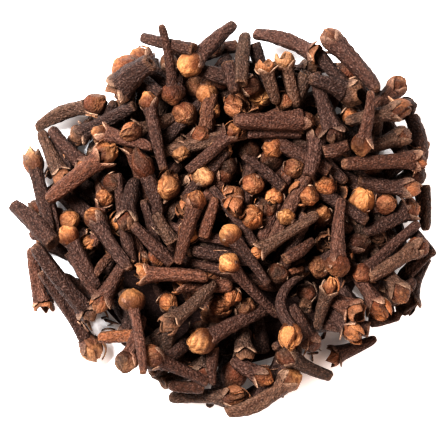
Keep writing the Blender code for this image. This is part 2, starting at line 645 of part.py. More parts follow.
def core_top(heap, shown):
    """Height of the core over the grid: up to the middle of the shown cloves, and lower between them."""
    wide = int(CORE_BLUR / CELL)
    smooth = heap.top.copy()
    for axis in (0, 1):
        smooth = sum(np.roll(smooth, step, axis=axis) for step in range(-wide, wide + 1)) / (2 * wide + 1)
    top = np.maximum(smooth - CORE_DEPTH, CORE_RIM)
    for clove in shown:
        share = np.linspace(0.0, 1.0, int(clove.plan_length / CELL) + 2)
        x = clove.tail[0] + share * (clove.tip[0] - clove.tail[0])
        y = clove.tail[1] + share * (clove.tip[1] - clove.tail[1])
        middle = clove.tail_z + share * (clove.tip_z - clove.tail_z) - CORE_BELOW_AXIS
        for step_x in (-CORE_HOLD, 0.0, CORE_HOLD):
            for step_y in (-CORE_HOLD, 0.0, CORE_HOLD):
                np.maximum.at(top, heap.cells(x + step_x, y + step_y), middle)
    return np.round(top, 3)


def core_mesh(heap, shown):
    """Shape half a sphere primitive into the core, flat below."""
    mesh = bmesh.new()
    bmesh.ops.create_uvsphere(mesh, u_segments=CORE_SIDES, v_segments=CORE_RINGS, radius=1.0)
    bmesh.ops.bisect_plane(
        mesh,
        geom=mesh.verts[:] + mesh.edges[:] + mesh.faces[:],
        dist=FLAT,
        plane_co=(0.0, 0.0, 0.0),
        plane_no=(0.0, 0.0, 1.0),
        clear_inner=True,
    )
    bmesh.ops.edgeloop_fill(mesh, edges=[edge for edge in mesh.edges if edge.is_boundary])
    edge = core_edge(heap)
    top = core_top(heap, shown)
    for vertex in mesh.verts:
        turn = math.atan2(vertex.co.y, vertex.co.x) / (2 * math.pi) * CORE_SIDES
        reach = edge[round(turn) % CORE_SIDES]
        x = reach * vertex.co.x
        y = reach * vertex.co.y
        height = 0.0 if vertex.co.z < FLAT else float(top[heap.cells(x, y)])
        vertex.co = Vector((x - MIDDLE_X, y - MIDDLE_Y, height)) * MM
    bmesh.ops.recalc_face_normals(mesh, faces=mesh.faces[:])
    bmesh.ops.triangulate(mesh, faces=mesh.faces[:])
    return mesh


def shown_cloves(heap, cloves):
    """Choose the cloves for the solid: those round the edge that show, then those that show most, evenly spread."""
    seen = np.bincount(heap.owner[heap.owner >= 0], minlength=len(cloves))
    edge = range(BASE_CLOVES, BASE_CLOVES + len(EDGE_CLOVES))
    chosen = [number for number in edge if seen[number] > SHOWN_CELLS]
    near = spread(np.isin(heap.owner, chosen))
    while len(chosen) < SHOWN_CLOVES:
        crowded = np.bincount(heap.owner[near & (heap.owner >= 0)], minlength=len(cloves))
        worth = seen - CROWDING * crowded
        worth[chosen] = -1.0
        best = int(np.argmax(worth))
        chosen.append(best)
        near |= spread(heap.owner == best)
    return [cloves[number] for number in chosen]


def spread(cells):
    """Widen a set of cells by the reach within which a chosen clove makes others less needed."""
    wide = int(CROWDING_REACH / CELL)
    for axis in (0, 1):
        cells = np.any([np.roll(cells, step, axis=axis) for step in range(-wide, wide + 1)], axis=0)
    return cells


def new_object(name, mesh, collection):
    """Make an object from an edit mesh and link it to a collection."""
    data = bpy.data.meshes.new(name)
    mesh.to_mesh(data)
    mesh.free()
    thing = bpy.data.objects.new(name, data)
    collection.objects.link(thing)
    return thing


def new_collection(name):
    """Make a collection in the scene."""
    collection = bpy.data.collections.new(name)
    bpy.context.scene.collection.children.link(collection)
    return collection


def clove_material():
    """Dry matt brown."""
    material = bpy.data.materials.new("dried clove")
    material.use_nodes = True
    shader = material.node_tree.nodes["Principled BSDF"]
    shader.inputs["Base Color"].default_value = (0.110, 0.050, 0.028, 1.0)
    shader.inputs["Roughness"].default_value = 0.75
    shader.inputs["Metallic"].default_value = 0.0
    return material


def keep_largest_body(mesh):
    """Drop loose scraps, and the inner walls of hollows that fusing has sealed."""
    left = set(mesh.verts)
    bodies = []
    while left:
        body = {left.pop()}
        edge = list(body)
        while edge:
            vertex = edge.pop()
            for link in vertex.link_edges:
                other = link.other_vert(vertex)
                if other in left:
                    left.remove(other)
                    body.add(other)
                    edge.append(other)
        bodies.append(body)
    bodies.sort(key=len)
    scraps = [vertex for body in bodies[:-1] for vertex in body]
    bmesh.ops.delete(mesh, geom=scraps, context="VERTS")


def fuse(core, operands):
    """Join the core and the cloves into one closed body, and remove the single cloves."""
    union = core.modifiers.new("fuse cloves", "BOOLEAN")
    union.operation = "UNION"
    union.operand_type = "COLLECTION"
    union.collection = operands
    union.solver = SOLVER
    bpy.context.view_layer.update()
    evaluated = core.evaluated_get(bpy.context.evaluated_depsgraph_get())
    fused = bpy.data.meshes.new_from_object(evaluated)
    core.modifiers.clear()
    core.data = fused
    for clove in list(operands.objects):
        bpy.data.objects.remove(clove)
    bpy.data.collections.remove(operands)
    mesh = bmesh.new()
    mesh.from_mesh(fused)
    bmesh.ops.remove_doubles(mesh, verts=mesh.verts[:], dist=WELD)
    bmesh.ops.dissolve_degenerate(mesh, edges=mesh.edges[:], dist=WELD)
    bmesh.ops.triangulate(mesh, faces=mesh.faces[:])
    keep_largest_body(mesh)
    mesh.to_mesh(fused)
    mesh.free()


def main():
    for thing in list(bpy.data.objects):
        bpy.data.objects.remove(thing, do_unlink=True)
    heap, cloves = lay_heap()
    parts = new_collection("heap of whole cloves")
    operands = new_collection("cloves to fuse")
    draw = random.Random(SEED + 1)
    shown = shown_cloves(heap, cloves)
    for number, clove in enumerate(shown):
        roll = math.radians(draw.uniform(-CLOVE_ROLL, CLOVE_ROLL))
        new_object(f"clove {number}", clove_mesh(clove, roll), operands)
    solid = new_object("clove_heap", core_mesh(heap, shown), parts)
    fuse(solid, operands)
    solid.data.materials.clear()
    solid.data.materials.append(clove_material())


main()
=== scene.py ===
"""Looks of the heap of whole cloves: every clove of the heap, as a real clove, over a dark core of painted
shade.

The heap is laid clove by clove by the same rule as its solid, in millimetres; meshes are made in metres.
"""
import json
import math
import random
from dataclasses import dataclass

import bpy
import numpy as np
from mathutils import Matrix, Vector

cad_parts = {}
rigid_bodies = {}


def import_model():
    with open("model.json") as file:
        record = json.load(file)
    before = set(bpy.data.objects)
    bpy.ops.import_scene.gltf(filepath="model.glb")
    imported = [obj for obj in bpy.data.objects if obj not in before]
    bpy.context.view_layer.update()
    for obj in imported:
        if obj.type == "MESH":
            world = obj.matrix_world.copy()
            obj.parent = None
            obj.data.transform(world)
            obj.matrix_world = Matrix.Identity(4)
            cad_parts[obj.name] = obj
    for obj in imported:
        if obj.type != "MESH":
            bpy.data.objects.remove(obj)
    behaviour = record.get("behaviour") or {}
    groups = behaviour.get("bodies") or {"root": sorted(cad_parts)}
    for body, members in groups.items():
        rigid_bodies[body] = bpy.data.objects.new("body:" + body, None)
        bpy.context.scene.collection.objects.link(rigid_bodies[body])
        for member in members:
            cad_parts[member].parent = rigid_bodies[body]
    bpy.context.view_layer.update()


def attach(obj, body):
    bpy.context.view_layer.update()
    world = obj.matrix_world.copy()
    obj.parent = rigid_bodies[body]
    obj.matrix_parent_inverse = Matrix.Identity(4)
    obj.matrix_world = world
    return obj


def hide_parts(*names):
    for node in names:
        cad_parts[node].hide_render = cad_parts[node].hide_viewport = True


MM = 0.001

# The heap
HEAP_RADIUS = 41.0
FILL_RADIUS = 35.0
FILL_HEIGHT = 18.0
EDGE_HEIGHT = 5.0
FILL_CURVE = 2.2
CORE_RADIUS = 31.0
CORE_HEIGHT = 9.5
CORE_CURVE = 0.7
MIDDLE_X = 0.07
MIDDLE_Y = -0.48

# The mean clove
CLOVE_LENGTH = 15.0
CLOVE_LENGTH_SPREAD = 1.5
BALL_DIAMETER = 4.4
BALL_SPREAD = 0.4
STEM_DIAMETER = 3.0
STEM_SPREAD = 0.3
TAIL_TAPER = 0.72
SETTLE = 0.3
WEDGE = 1.0
BALANCE = 0.55
MAX_TILT = 0.45

# Where a clove's width changes, in shares of its length, and its width there in shares of its stem or ball
BARE_PLACES = (0.0, 0.1, 1.0)
BARE_WIDTHS = (0.6, 0.9, 0.9)
TAIL_END = 0.08
NECK_FLARE = 0.1
NECK_BACK = 2.1
STEM_WIDTHS = (0.5, TAIL_TAPER, 1.0)
BALL_WIDTHS = (1.05, 1.0, 0.35)

# How the heap is laid: the grid, how many cloves of each sort, and what counts against a place
SEED = 27
CELL = 0.5
MAP_REACH = 52.0
STATION = 0.8
ACROSS = (-0.85, -0.45, 0.0, 0.45, 0.85)
GAP_SLOPE = 4.0
TRIES = 30
BASE_CLOVES = 60
BASE_RING = (28.0, 37.0)
UNDER_CLOVES = 150
UNDER_LIMIT = 0.0
PLUG_CLOVES = 30
LAST_CLOVES = 80
LAST_LIMIT = 4.0
HIDING_COST = 14.0
GAP_COST = 60.0
TILT_COST = 4.0
OUTSIDE_COST = 4.0
LOOSE_INSET = 1.5
UPRIGHT_LENGTH = 13.0
UPRIGHT_STEM = 2.7
UPRIGHT_DROP = 0.88
UPRIGHT_TAIL = 2.0
UPRIGHT_RISE = 0.75
UPRIGHT_BELOW_FILL = 1.5
BALL_SPOT = 1.6

# How often each colour and kind is drawn among the loose cloves, and each kind among those that stand
COLOUR_WEIGHTS = {"tan": 16, "brown": 44, "orange": 10, "dark": 26, "bright": 4}
LOOSE_WEIGHTS = {"ball": 50, "open": 16, "bud": 8, "crumpled": 14, "stem": 12}
PLUG_WEIGHTS = {"ball": 35, "open": 20, "bud": 10, "crumpled": 35}

# Fineness of the meshes: rows and columns of a stem and of a head, and rows of a sepal
FINE = {"stem": (38, 22), "ball": (18, 32), "sepal": 7}
COARSE = {"stem": (14, 10), "ball": (9, 16), "sepal": 4}
SHOWN_CELLS = 14
LEAF_SIDES = 8
STAMEN_GRID = (4, 5)
CORE_GRID = (40, 120)
FLOOR_GAP = 0.02

# Colours as linear light: of the heads, by the colour word of the clove, of the stems, and of details
COLOURS = {
    "bright": (0.365, 0.168, 0.062),
    "tan": (0.290, 0.120, 0.045),
    "pale": (0.340, 0.178, 0.086),
    "orange": (0.265, 0.096, 0.032),
    "brown": (0.168, 0.065, 0.027),
    "red": (0.165, 0.055, 0.023),
    "dull": (0.150, 0.078, 0.044),
    "dark": (0.054, 0.023, 0.012),
}
STEM_COLOURS = (
    (0.068, 0.029, 0.018),
    (0.055, 0.025, 0.017),
    (0.078, 0.031, 0.017),
    (0.046, 0.020, 0.013),
    (0.073, 0.037, 0.022),
)
RIM_COLOUR = (0.270, 0.138, 0.074)
EDGE_COLOUR = (0.450, 0.295, 0.200)
# Painted shade: the near-black that the inside of an open head darkens to, the more the deeper
INSIDE_SHADE_COLOUR = (0.010, 0.004, 0.002)
# Dark red-brown of the seams between petals, also used as painted shade towards a head's stem and in its
# creases
SEAM_AND_SHADE_COLOUR = (0.066, 0.018, 0.006)
# Painted highlight: the pale colour that the raised places of a head are blended towards
HIGHLIGHT_COLOUR = (0.540, 0.355, 0.185)
SPECK_COLOUR = (0.215, 0.140, 0.114)
# Painted shade: the near-black of the core, for the cloves deep in the heap that show only between the
# others
CORE_SHADE_COLOUR = (0.020, 0.007, 0.005)
TONE_RANGE = (0.004, 0.9)

# How colours vary: from head to head, from stem to stem, on dark cloves, and with the painted shade in a
# stem's folds, as powers of its red, green and blue, so that low, shaded places are redder and high ones
# paler
HEAD_SHADES = (0.85, 1.15)
STEM_SHADES = (0.8, 1.25)
STEM_DARK = 0.65
FOLD_SHADE_HUES = (1.0, 1.35, 1.55)

# How much of the fine grain each shape takes
GRAIN = {"stem": 0.8, "cup": 0.5, "ball": 0.5, "light ball": 0.3, "stamen": 0.3, "sepal": 0.6, "flake": 0.4}
LIGHT_WORDS = ("bright", "pale", "tan")
SCRAP_GRAIN = 1.0
CORE_GRAIN = 0.3

# Wrinkles: how many lie round a shape, how steeply they wind along it, and how many sets lie over each other
STEM_FOLDS = {"turns": (3, 9), "pitch": (0.15, 0.7)}
STEM_PEBBLES = {"turns": (5, 11), "pitch": (1.5, 4.0), "count": 8}
HEAD_FOLDS = {"turns": (2, 6), "pitch": (0.5, 1.5)}
HEAD_LINES = {"turns": (5, 9), "pitch": (1.5, 4.0)}
HEAD_PATCHES = {"turns": (1, 3), "pitch": (0.4, 1.2), "count": 4}
CUP_NOTCHES = {"turns": (1, 4), "pitch": (0.0, 0.1), "count": 4}
CUP_FOLDS = {"turns": (2, 6), "pitch": (0.5, 2.0)}

# Stems: where they end in the head, in its radii, how their tails and ends round off, and where they widen
NECK_IN_HEAD = 1.75
ROUNDED_TAILS = 0.7
TAIL_ROUNDING = (0.5, 1.1)
CUT_TAIL = 0.02
TAIL_CLOSING = (0.0, 0.45, 0.70, 0.90)
CUT_CLOSING = (0.94, 0.76, 0.0)
NECK_CLOSING = (1.0, 0.9, 0.0)
END_SHADE = 0.25
FULL_WIDTH = (0.5, 0.85)
FLARE = (0.18, 0.34)
FLARE_FROM = 0.72
FOUR_SIDED = 0.055
BARE_KINDS = ("stem", "twig")
STEM_BEND = (-0.4, 0.4)
STEM_SAG = (-0.2, 0.6)
STEM_ROLL = 15.0

# Heads: their overlapping petals, how rough, squashed and drawn out they are, and what an open one holds
PETALS = 4
PETAL_LEAN = (0.75, 1.15)
PETAL_FLAT = (0.74, 0.93)
PETAL_SOFTNESS = 28
SEAM_WIDTH = 0.07
PETAL_RIM = 0.86
PETAL_RIM_WIDTH = 0.09
BALL_END = 0.9
ROUGHNESS = {"ball": 0.05, "bud": 0.04, "crumpled": 0.12}
SQUASH = (0.90, 1.05)
CRUMPLED_SQUASH = (0.72, 0.95)
STRETCH = (0.92, 1.05)
BUD_STRETCH = 1.45
BUD_BACK = 1.35
CUP_RIM = (0.22, 0.72)
CUP_INSIDE = 0.86
CUP_DEPTH = 1.55
STAMENS = 6
FLAKES = (2, 4)

# Sepals: how many are lost, how far they reach, and how they lean at neck and tip, by kind of head
SEPALS = 4
SEPALS_LOST = 0.10
SEPAL_REACH = 2.5
SEPAL_SPREAD = (1.0, 1.45)
OPEN_SEPALS = 0.75
SEPAL_LEANS = {
    "ball": ((0.50, 0.90), (-0.40, 0.80)),
    "crumpled": ((0.60, 1.00), (-0.20, 1.10)),
    "bud": ((0.25, 0.55), (-0.20, 0.30)),
    "open": ((0.60, 1.10), (0.10, 1.30)),
}

# Broken sepals in the hollows between the cloves, and on the floor in the gaps
SCRAPS = 80
SCRAP_HOLE = 4
HOLLOW_DEPTH = 0.5
GAP_SCRAPS = 12
GAP_REACH = 35.0
SCRAP_LENGTH = (1.2, 3.4)
SCRAP_WIDTH = (0.8, 3.0)
SCRAP_LIFT = 0.25

# Cloves on the floor round the core, where others hide them from above
FLANK_CLOVES = 56
FLANK_TRIES = 60
FLANK_RING = (27.5, 34.0)
FLANK_LENGTH = (8.0, 13.0)
FLANK_COVER = 4.6
CORE_SHOWS = 0.3
FLANK_KINDS = (
    "dark stem",
    "brown stem",
    "brown ball",
    "dark ball",
    "dull ball",
    "brown open",
    "brown crumpled",
)

# Pieces, by kind of head; round buds higher than this are a piece of their own
PIECES = {
    "ball": "cloves_with_round_buds",
    "open": "cloves_with_open_heads",
    "bud": "cloves_with_pointed_buds",
    "crumpled": "cloves_with_crumpled_heads",
    "stem": "bare_clove_stems",
    "twig": "bare_clove_stems",
}
UPPER_BUDS = 12.0

# Dry clove and core: fine grain, its mottling and pale dust as ranges from and to, and relief
GRAIN_STRETCH = (0.70, 1.0, 1.0)
GRAIN_SCALE = 1.7
SPECK_SCALE = 3.6
PIT_SCALE = 2.6
MOTTLING = (0.80, 1.26, 0.42, 1.95)
DUST = (0.56, 0.70, 0.0, 0.60)
CLOVE_ROUGHNESS = 0.64
CLOVE_BUMP = 0.75
CORE_ROUGHNESS = 0.9
CORE_BUMP = 0.8
BUMP_SHARES = (0.6, 0.4)
BUMP_DEPTH = 0.0005
SPECULAR = 0.25

# Floor: its colour, and its glow, as distances from the middle in metres and strengths there
FLOOR_SIZE = 4.0
FLOOR_COLOUR = (0.92, 0.92, 0.93, 1.0)
FLOOR_ROUGHNESS = 0.8
GLOW_COLOUR = (1.0, 0.98, 0.97, 1.0)
GLOW = (0.035, 0.041, 0.10, 1.00)

# Camera, as in the photograph: the picture's side, a pixel's size, the heap's middle in it, and heights
PICTURE_SIDE = 447
PIXEL = 0.204
HEAP_IN_PICTURE = (223.0, 216.0)
CAMERA_HEIGHT = 550.0
FOCUS_HEIGHT = 10.0
SENSOR = 36.0

# Soft lights: name, place, size, power and colour
AREA_LIGHTS = (
    ("window", (-0.33, 0.23, 0.57), 0.24, 19.5, (0.985, 0.99, 1.0)),
    ("far wall", (0.50, -0.40, 0.30), 0.60, 4.6, (1.0, 0.74, 0.60)),
)
LIGHTS_AIM = (0.0, 0.0, 0.01)
ROOM_COLOUR = (1.0, 0.58, 0.42, 1.0)
ROOM_STRENGTH = 0.17
GAMMA = 0.76

# Cloves round the edge, lowest first: colour and kind, the ball's middle, the tail's end, the diameters of
# ball and stem, and for some how far the middle bends to the left on the way to the head
EDGE_CLOVES = (
    ("dark crumpled", 37.6, 22.4, 29.0, 18.0, 4.4, 3.4),
    ("dark ball", 39.4, 8.4, 30.0, 4.6, 4.6, 3.2),
    ("dark ball", 25.2, 29.4, 20.4, 20.6, 4.6, 3.6),
    ("dark stem", 6.2, 34.8, 9.4, 26.0, 0.0, 2.8),
    ("dark crumpled", 38.0, -18.0, 41.9, -8.6, 4.4, 3.6),
    ("dark stem", 42.6, -6.6, 36.0, -14.0, 0.0, 3.4),
    ("dark open", 40.4, 14.6, 33.4, 8.2, 4.2, 3.4),
    ("dark stem", 24.0, 12.0, 27.5, 22.0, 0.0, 3.2),
    ("dark stem", 33.0, 19.5, 37.5, 11.5, 0.0, 3.4),
    ("dark stem", 19.5, 32.8, 25.0, 27.0, 0.0, 3.0),
    ("dark stem", 27.0, 27.6, 31.5, 20.0, 0.0, 3.2),
    ("dark stem", 33.5, -6.5, 30.0, -16.0, 0.0, 3.4),
    ("dark stem", 17.0, 29.0, 14.0, 20.5, 0.0, 3.2),
    ("dark stem", -31.0, -7.5, -25.6, -16.5, 0.0, 3.4),
    ("dark stem", -34.6, 17.0, -31.0, 6.0, 0.0, 2.8),
    ("brown stem", -36.0, 4.5, -34.0, -4.0, 0.0, 3.0),
    ("dark ball", 30.0, 14.0, 31.8, 25.6, 4.4, 3.2),
    ("dark stem", 39.0, 20.4, 41.2, 11.4, 0.0, 3.2),
    ("dark stem", 41.2, 6.4, 42.0, -3.0, 0.0, 3.2),
    ("dark stem", 38.8, -2.6, 43.4, -8.0, 0.0, 2.8),
    ("dark stem", 30.6, -21.6, 36.4, -20.6, 0.0, 3.0),
    ("dark ball", 34.6, -16.6, 39.4, -13.0, 4.2, 3.0),
    ("brown ball", 22.3, 35.8, 31.2, 25.2, 4.9, 3.6),
    ("pale open", 12.4, 31.6, 14.9, 22.0, 4.0, 2.8),
    ("tan open", 8.4, 30.4, 10.8, 22.6, 4.0, 2.6),
    ("dark stem", 1.0, 30.8, 2.4, 24.6, 0.0, 2.8),
    ("brown open", 19.2, 32.7, 6.4, 37.4, 4.2, 3.1, 0.8),
    ("dark stem", 3.6, 26.4, 4.6, 37.0, 0.0, 3.0),
    ("bright ball", -6.5, 30.7, 2.4, 39.2, 5.2, 3.3),
    ("dark stem", -5.8, 33.4, -16.5, 36.3, 0.0, 2.8),
    ("tan crumpled", -16.6, 32.4, -10.6, 26.4, 4.6, 3.2),
    ("orange ball", -19.4, 29.8, -12.6, 24.4, 6.2, 3.4),
    ("dark open", -21.6, 25.4, -14.4, 31.0, 5.4, 5.0),
    ("brown open", -32.7, 7.8, -37.5, 17.4, 4.0, 3.0),
    ("brown open", -28.0, 10.2, -35.4, 18.0, 4.0, 2.9),
    ("brown ball", -26.3, 22.9, -38.6, 18.1, 5.0, 3.2, 1.0),
    ("pale bud", -39.2, 11.8, -35.0, -3.4, 4.5, 3.0),
    ("brown stem", -34.4, -5.6, -43.0, 2.4, 0.0, 3.9),
    ("brown open", -37.0, -19.0, -39.5, -6.4, 4.2, 3.1),
    ("dark open", -27.1, -20.0, -38.3, -5.8, 4.2, 3.6),
    ("pale crumpled", -27.3, -26.9, -37.4, -11.4, 5.4, 2.7),
    ("orange twig", -18.0, -24.4, -25.2, -24.9, 0.0, 2.8),
    ("dull ball", -19.4, -29.3, -16.4, -20.4, 4.6, 2.6),
    ("dark stem", -4.0, -34.6, -11.2, -34.3, 0.0, 2.8),
    ("brown ball", -14.2, -28.6, -3.3, -33.8, 5.4, 2.9),
    ("brown crumpled", 2.1, -36.9, -11.0, -37.5, 4.8, 3.2),
    ("bright ball", 13.8, -33.3, 0.6, -40.0, 4.9, 3.4, -1.3),
    ("orange ball", 8.2, -32.8, 1.6, -29.4, 4.2, 3.0),
    ("dark stem", -2.0, -26.6, -2.1, -34.4, 0.0, 2.4),
    ("dark open", 4.5, -28.6, 3.8, -20.4, 3.8, 3.4),
    ("dark stem", 8.2, -27.8, 7.2, -20.6, 0.0, 3.3),
    ("dark ball", 13.0, -28.4, 22.0, -32.8, 4.2, 3.0),
    ("brown open", 22.3, -29.1, 31.7, -25.3, 4.2, 2.9),
    ("dark stem", 29.6, -23.0, 18.6, -21.2, 0.0, 3.2),
    ("tan crumpled", 25.8, -23.4, 20.0, -17.6, 4.0, 2.8),
    ("dark ball", 17.7, -25.4, 14.0, -18.0, 4.0, 3.2),
    ("brown open", 27.0, -19.4, 19.8, -15.6, 4.6, 3.8),
    ("orange crumpled", 31.7, -18.8, 26.0, -9.6, 4.8, 3.0),
    ("brown ball", 36.1, -15.6, 30.4, -6.0, 4.6, 3.0),
    ("red ball", 28.3, -11.6, 40.2, -1.4, 3.8, 2.5),
    ("red ball", 40.0, -6.4, 29.6, -12.6, 4.2, 3.0),
    ("orange ball", 38.3, 1.3, 28.6, -3.4, 4.4, 3.0),
    ("brown crumpled", 38.0, 5.5, 27.6, 7.4, 4.2, 3.0),
    ("brown ball", 36.2, 16.2, 27.4, 12.6, 4.4, 3.0),
    ("orange ball", 35.4, 26.4, 28.0, 17.4, 4.4, 3.0),
    ("brown crumpled", 35.5, 21.2, 24.6, 19.0, 4.4, 3.0),
)

# Cloves on top, lowest first, in the same form
TOP_CLOVES = (
    ("dark open", -29.4, 16.6, -17.8, 22.4, 4.2, 3.0),
    ("tan ball", -24.8, 16.8, -14.0, 13.6, 4.0, 2.8),
    ("brown crumpled", -18.3, 16.9, -9.4, 20.2, 4.4, 2.8),
    ("brown ball", -10.1, 25.0, -12.4, 38.4, 4.8, 2.2),
    ("tan ball", -15.1, 23.2, -11.9, 9.2, 3.8, 2.5),
    ("tan crumpled", -23.6, 12.6, -35.8, 3.2, 4.8, 3.6),
    ("dark crumpled", -19.4, -1.0, -17.8, 7.6, 4.0, 3.2),
    ("dark bud", -16.6, 11.4, -12.6, 0.2, 4.6, 3.0),
    ("brown stem", -10.0, -5.4, -13.6, 0.6, 0.0, 3.0),
    ("brown stem", -10.2, -9.4, -18.2, -1.6, 0.0, 2.9),
    ("tan ball", -31.4, -4.0, -25.2, -14.6, 4.2, 2.9),
    ("tan stem", -22.4, -7.8, -26.1, -12.6, 0.0, 2.0),
    ("brown crumpled", -24.6, -17.4, -19.6, -9.0, 4.0, 2.9),
    ("orange ball", -26.0, -0.6, -18.6, -10.8, 4.6, 3.1),
    ("tan open", -16.8, -11.8, -3.0, -12.4, 4.4, 3.0),
    ("bright ball", -18.3, -17.2, -15.9, -31.6, 5.0, 2.2),
    ("dark open", -11.0, -21.8, -1.6, -13.2, 4.4, 2.9),
    ("bright ball", -4.3, -25.3, 9.2, -18.9, 5.2, 3.2),
    ("brown stem", -4.0, -4.4, -1.5, 3.8, 0.0, 2.6),
    ("tan crumpled", 2.0, 17.0, -7.2, 9.0, 3.6, 2.6),
    ("brown stem", 12.2, 5.6, 3.9, 12.2, 0.0, 2.4),
    ("brown stem", 15.6, 16.8, 4.9, 16.4, 0.0, 2.6),
    ("brown ball", 16.8, 19.4, 2.2, 19.2, 3.6, 3.8),
    ("brown ball", 19.2, 16.4, 17.0, 8.0, 4.0, 3.2),
    ("dark crumpled", 22.6, 16.4, 18.6, 29.0, 4.0, 3.4),
    ("dark open", 26.1, 24.7, 17.4, 27.4, 5.4, 3.4),
    ("tan ball", 28.0, 14.4, 29.6, 25.0, 4.6, 2.4),
    ("dark stem", 20.4, 12.9, 25.4, 14.4, 0.0, 3.0),
    ("brown crumpled", 39.6, 11.4, 24.0, 10.4, 3.4, 3.2),
    ("brown ball", 23.1, -10.0, 24.0, 3.6, 5.0, 2.8),
    ("dark stem", 12.4, -8.8, 18.3, -4.8, 0.0, 2.6),
    ("tan crumpled", 6.8, -7.4, 19.2, 0.4, 2.6, 2.7),
    ("bright ball", 1.4, -3.8, 9.0, -13.8, 4.4, 2.5),
    ("bright ball", 1.3, -9.7, 11.5, -20.4, 4.4, 2.5),
    ("brown twig", 12.4, -11.6, 16.4, -10.6, 0.0, 1.6),
    ("bright crumpled", 13.6, -23.8, 15.4, -12.4, 4.8, 2.5, -3.0),
    ("tan crumpled", 21.4, -14.2, 19.0, -22.8, 3.6, 2.6),
)

# Cloves that stand head up among the others: colour and kind, ball's middle, tail's side, ball diameter
UPRIGHT_CLOVES = (
    ("tan ball", -31.4, -1.0, 200.0, 4.3),
    ("orange ball", -24.0, 3.8, 250.0, 3.7),
    ("tan ball", -11.1, 5.7, 20.0, 4.7),
    ("tan ball", -8.5, 12.9, 110.0, 4.2),
    ("pale ball", -4.1, 8.3, 300.0, 4.6),
    ("red ball", -4.4, 16.4, 200.0, 4.0),
    ("tan ball", -2.7, 21.6, 190.0, 4.4),
    ("brown ball", -2.7, 26.6, 60.0, 3.6),
    ("pale open", -0.6, 13.0, 80.0, 4.8),
    ("bright ball", 7.7, 24.6, 100.0, 4.8),
    ("brown ball", 12.4, 23.0, 60.0, 3.6),
    ("orange ball", 10.2, 13.8, 60.0, 4.4),
    ("dark ball", 0.8, 10.1, 280.0, 3.8),
    ("brown ball", 6.1, 6.4, 120.0, 4.2),
    ("tan crumpled", 10.2, 3.8, 30.0, 3.6),
    ("orange ball", 5.8, -0.3, 200.0, 5.0),
    ("bright ball", 12.7, -0.2, 300.0, 3.6),
    ("tan bud", 20.5, 0.6, 250.0, 3.6),
    ("brown open", 23.4, 5.0, 270.0, 4.0),
    ("brown open", 20.9, -5.6, 120.0, 3.8),
    ("bright ball", 28.4, 3.2, 240.0, 5.3),
    ("brown ball", 33.3, 2.6, 200.0, 4.4),
    ("orange ball", 26.1, 20.1, 110.0, 3.9),
    ("orange crumpled", 1.6, -16.5, 90.0, 3.8),
    ("orange ball", -11.1, -17.6, 120.0, 3.8),
    ("tan stem", 16.7, -18.4, 80.0, 3.4),
    ("tan crumpled", -27.4, -5.6, 20.0, 3.6),
)

# How far the heap reaches in each direction, every 15 degrees from +X towards +Y
OUTLINE = (42.2, 43.8, 45.0, 42.0, 43.5, 38.9, 39.2, 39.1, 37.5, 35.5, 42.0, 41.5) + (
    42.5, 41.0, 42.4, 39.5, 36.5, 39.5, 40.8, 39.8, 38.3, 39.7, 42.2, 43.8
)

# Where the surface below shows through the edge of the heap: middle and radius
GAPS = (
    (-30.5, 19.7, 2.2),
    (-4.6, 36.6, 2.6),
    (-0.6, 31.8, 1.6),
    (2.2, 34.0, 1.8),
    (10.6, 33.8, 2.4),
    (-23.4, -20.8, 2.8),
    (-22.6, -27.0, 2.2),
    (9.6, -28.6, 2.4),
    (4.2, -34.6, 1.8),
    (19.0, -28.0, 2.4),
    (23.4, -25.4, 1.6),
)


@dataclass
class Clove:
    """One clove: its kind, the two ends of its axis, and its sizes."""

    kind: str
    tail: tuple
    tip: tuple
    ball: float
    stem: float
    bend: float = 0.0
    tail_z: float = 0.0
    tip_z: float = 0.0

    @property
    def plan_length(self):
        """Length of the clove as seen from above."""
        return math.dist(self.tail, self.tip)

    def head_radius(self):
        """Largest radius of the head, or of the stem where there is no head."""
        return max(self.ball, self.stem) / 2

    def bow(self, share):
        """How far the stem bends to the left, at a share of the clove's length."""
        neck = 1.0 - self.ball / self.plan_length
        return self.bend * np.maximum(0.0, 1.0 - (2.0 * share / neck - 1.0) ** 2)


def width_profile(clove):
    """Give places along the axis, as shares of the length, and the clove's radius at each."""
    length = clove.plan_length
    stem = clove.stem / 2
    if clove.ball == 0.0:
        return BARE_PLACES, [stem * width for width in BARE_WIDTHS]
    ball = clove.ball / 2
    neck = 1.0 - NECK_BACK * ball / length
    places = (0.0, TAIL_END, neck - NECK_FLARE, neck, 1.0 - ball / length, 1.0)
    return places, [stem * width for width in STEM_WIDTHS] + [ball * width for width in BALL_WIDTHS]


def lie(kind, head_x, head_y, tail_x, tail_y, ball, stem, bend=0.0):
    """Make a lying clove from its ball's middle, its tail's end and its bend."""
    span = math.dist((head_x, head_y), (tail_x, tail_y))
    reach = (span + ball / 2) / span
    tip = (tail_x + (head_x - tail_x) * reach, tail_y + (head_y - tail_y) * reach)
    return Clove(kind, (tail_x, tail_y), tip, ball, stem, bend)


def beyond_outline(place):
    """How far a place lies outside the heap's outline, less what a loose clove keeps clear of it."""
    turn = math.degrees(math.atan2(place[1], place[0])) % 360.0
    step = 360.0 / len(OUTLINE)
    index = int(turn / step)
    share = turn / step - index
    outline = OUTLINE[index] * (1.0 - share) + OUTLINE[(index + 1) % len(OUTLINE)] * share
    return max(0.0, math.hypot(*place) - outline + LOOSE_INSET)


def fill_limit(x, y):
    """Height to which loose cloves fill the heap at a place."""
    share = min(1.0, math.hypot(x, y) / HEAP_RADIUS)
    return EDGE_HEIGHT + (FILL_HEIGHT - EDGE_HEIGHT) * (1.0 - share**FILL_CURVE)


def core_height(x, y):
    """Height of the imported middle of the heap, which only shows between the cloves."""
    share = np.minimum(1.0, np.hypot(x, y) / CORE_RADIUS)
    height = CORE_HEIGHT * (1.0 - share**2) ** CORE_CURVE
    for gap_x, gap_y, radius in GAPS:
        height = height * np.clip((np.hypot(x - gap_x, y - gap_y) - radius) / GAP_SLOPE, 0.0, 1.0)
    return height


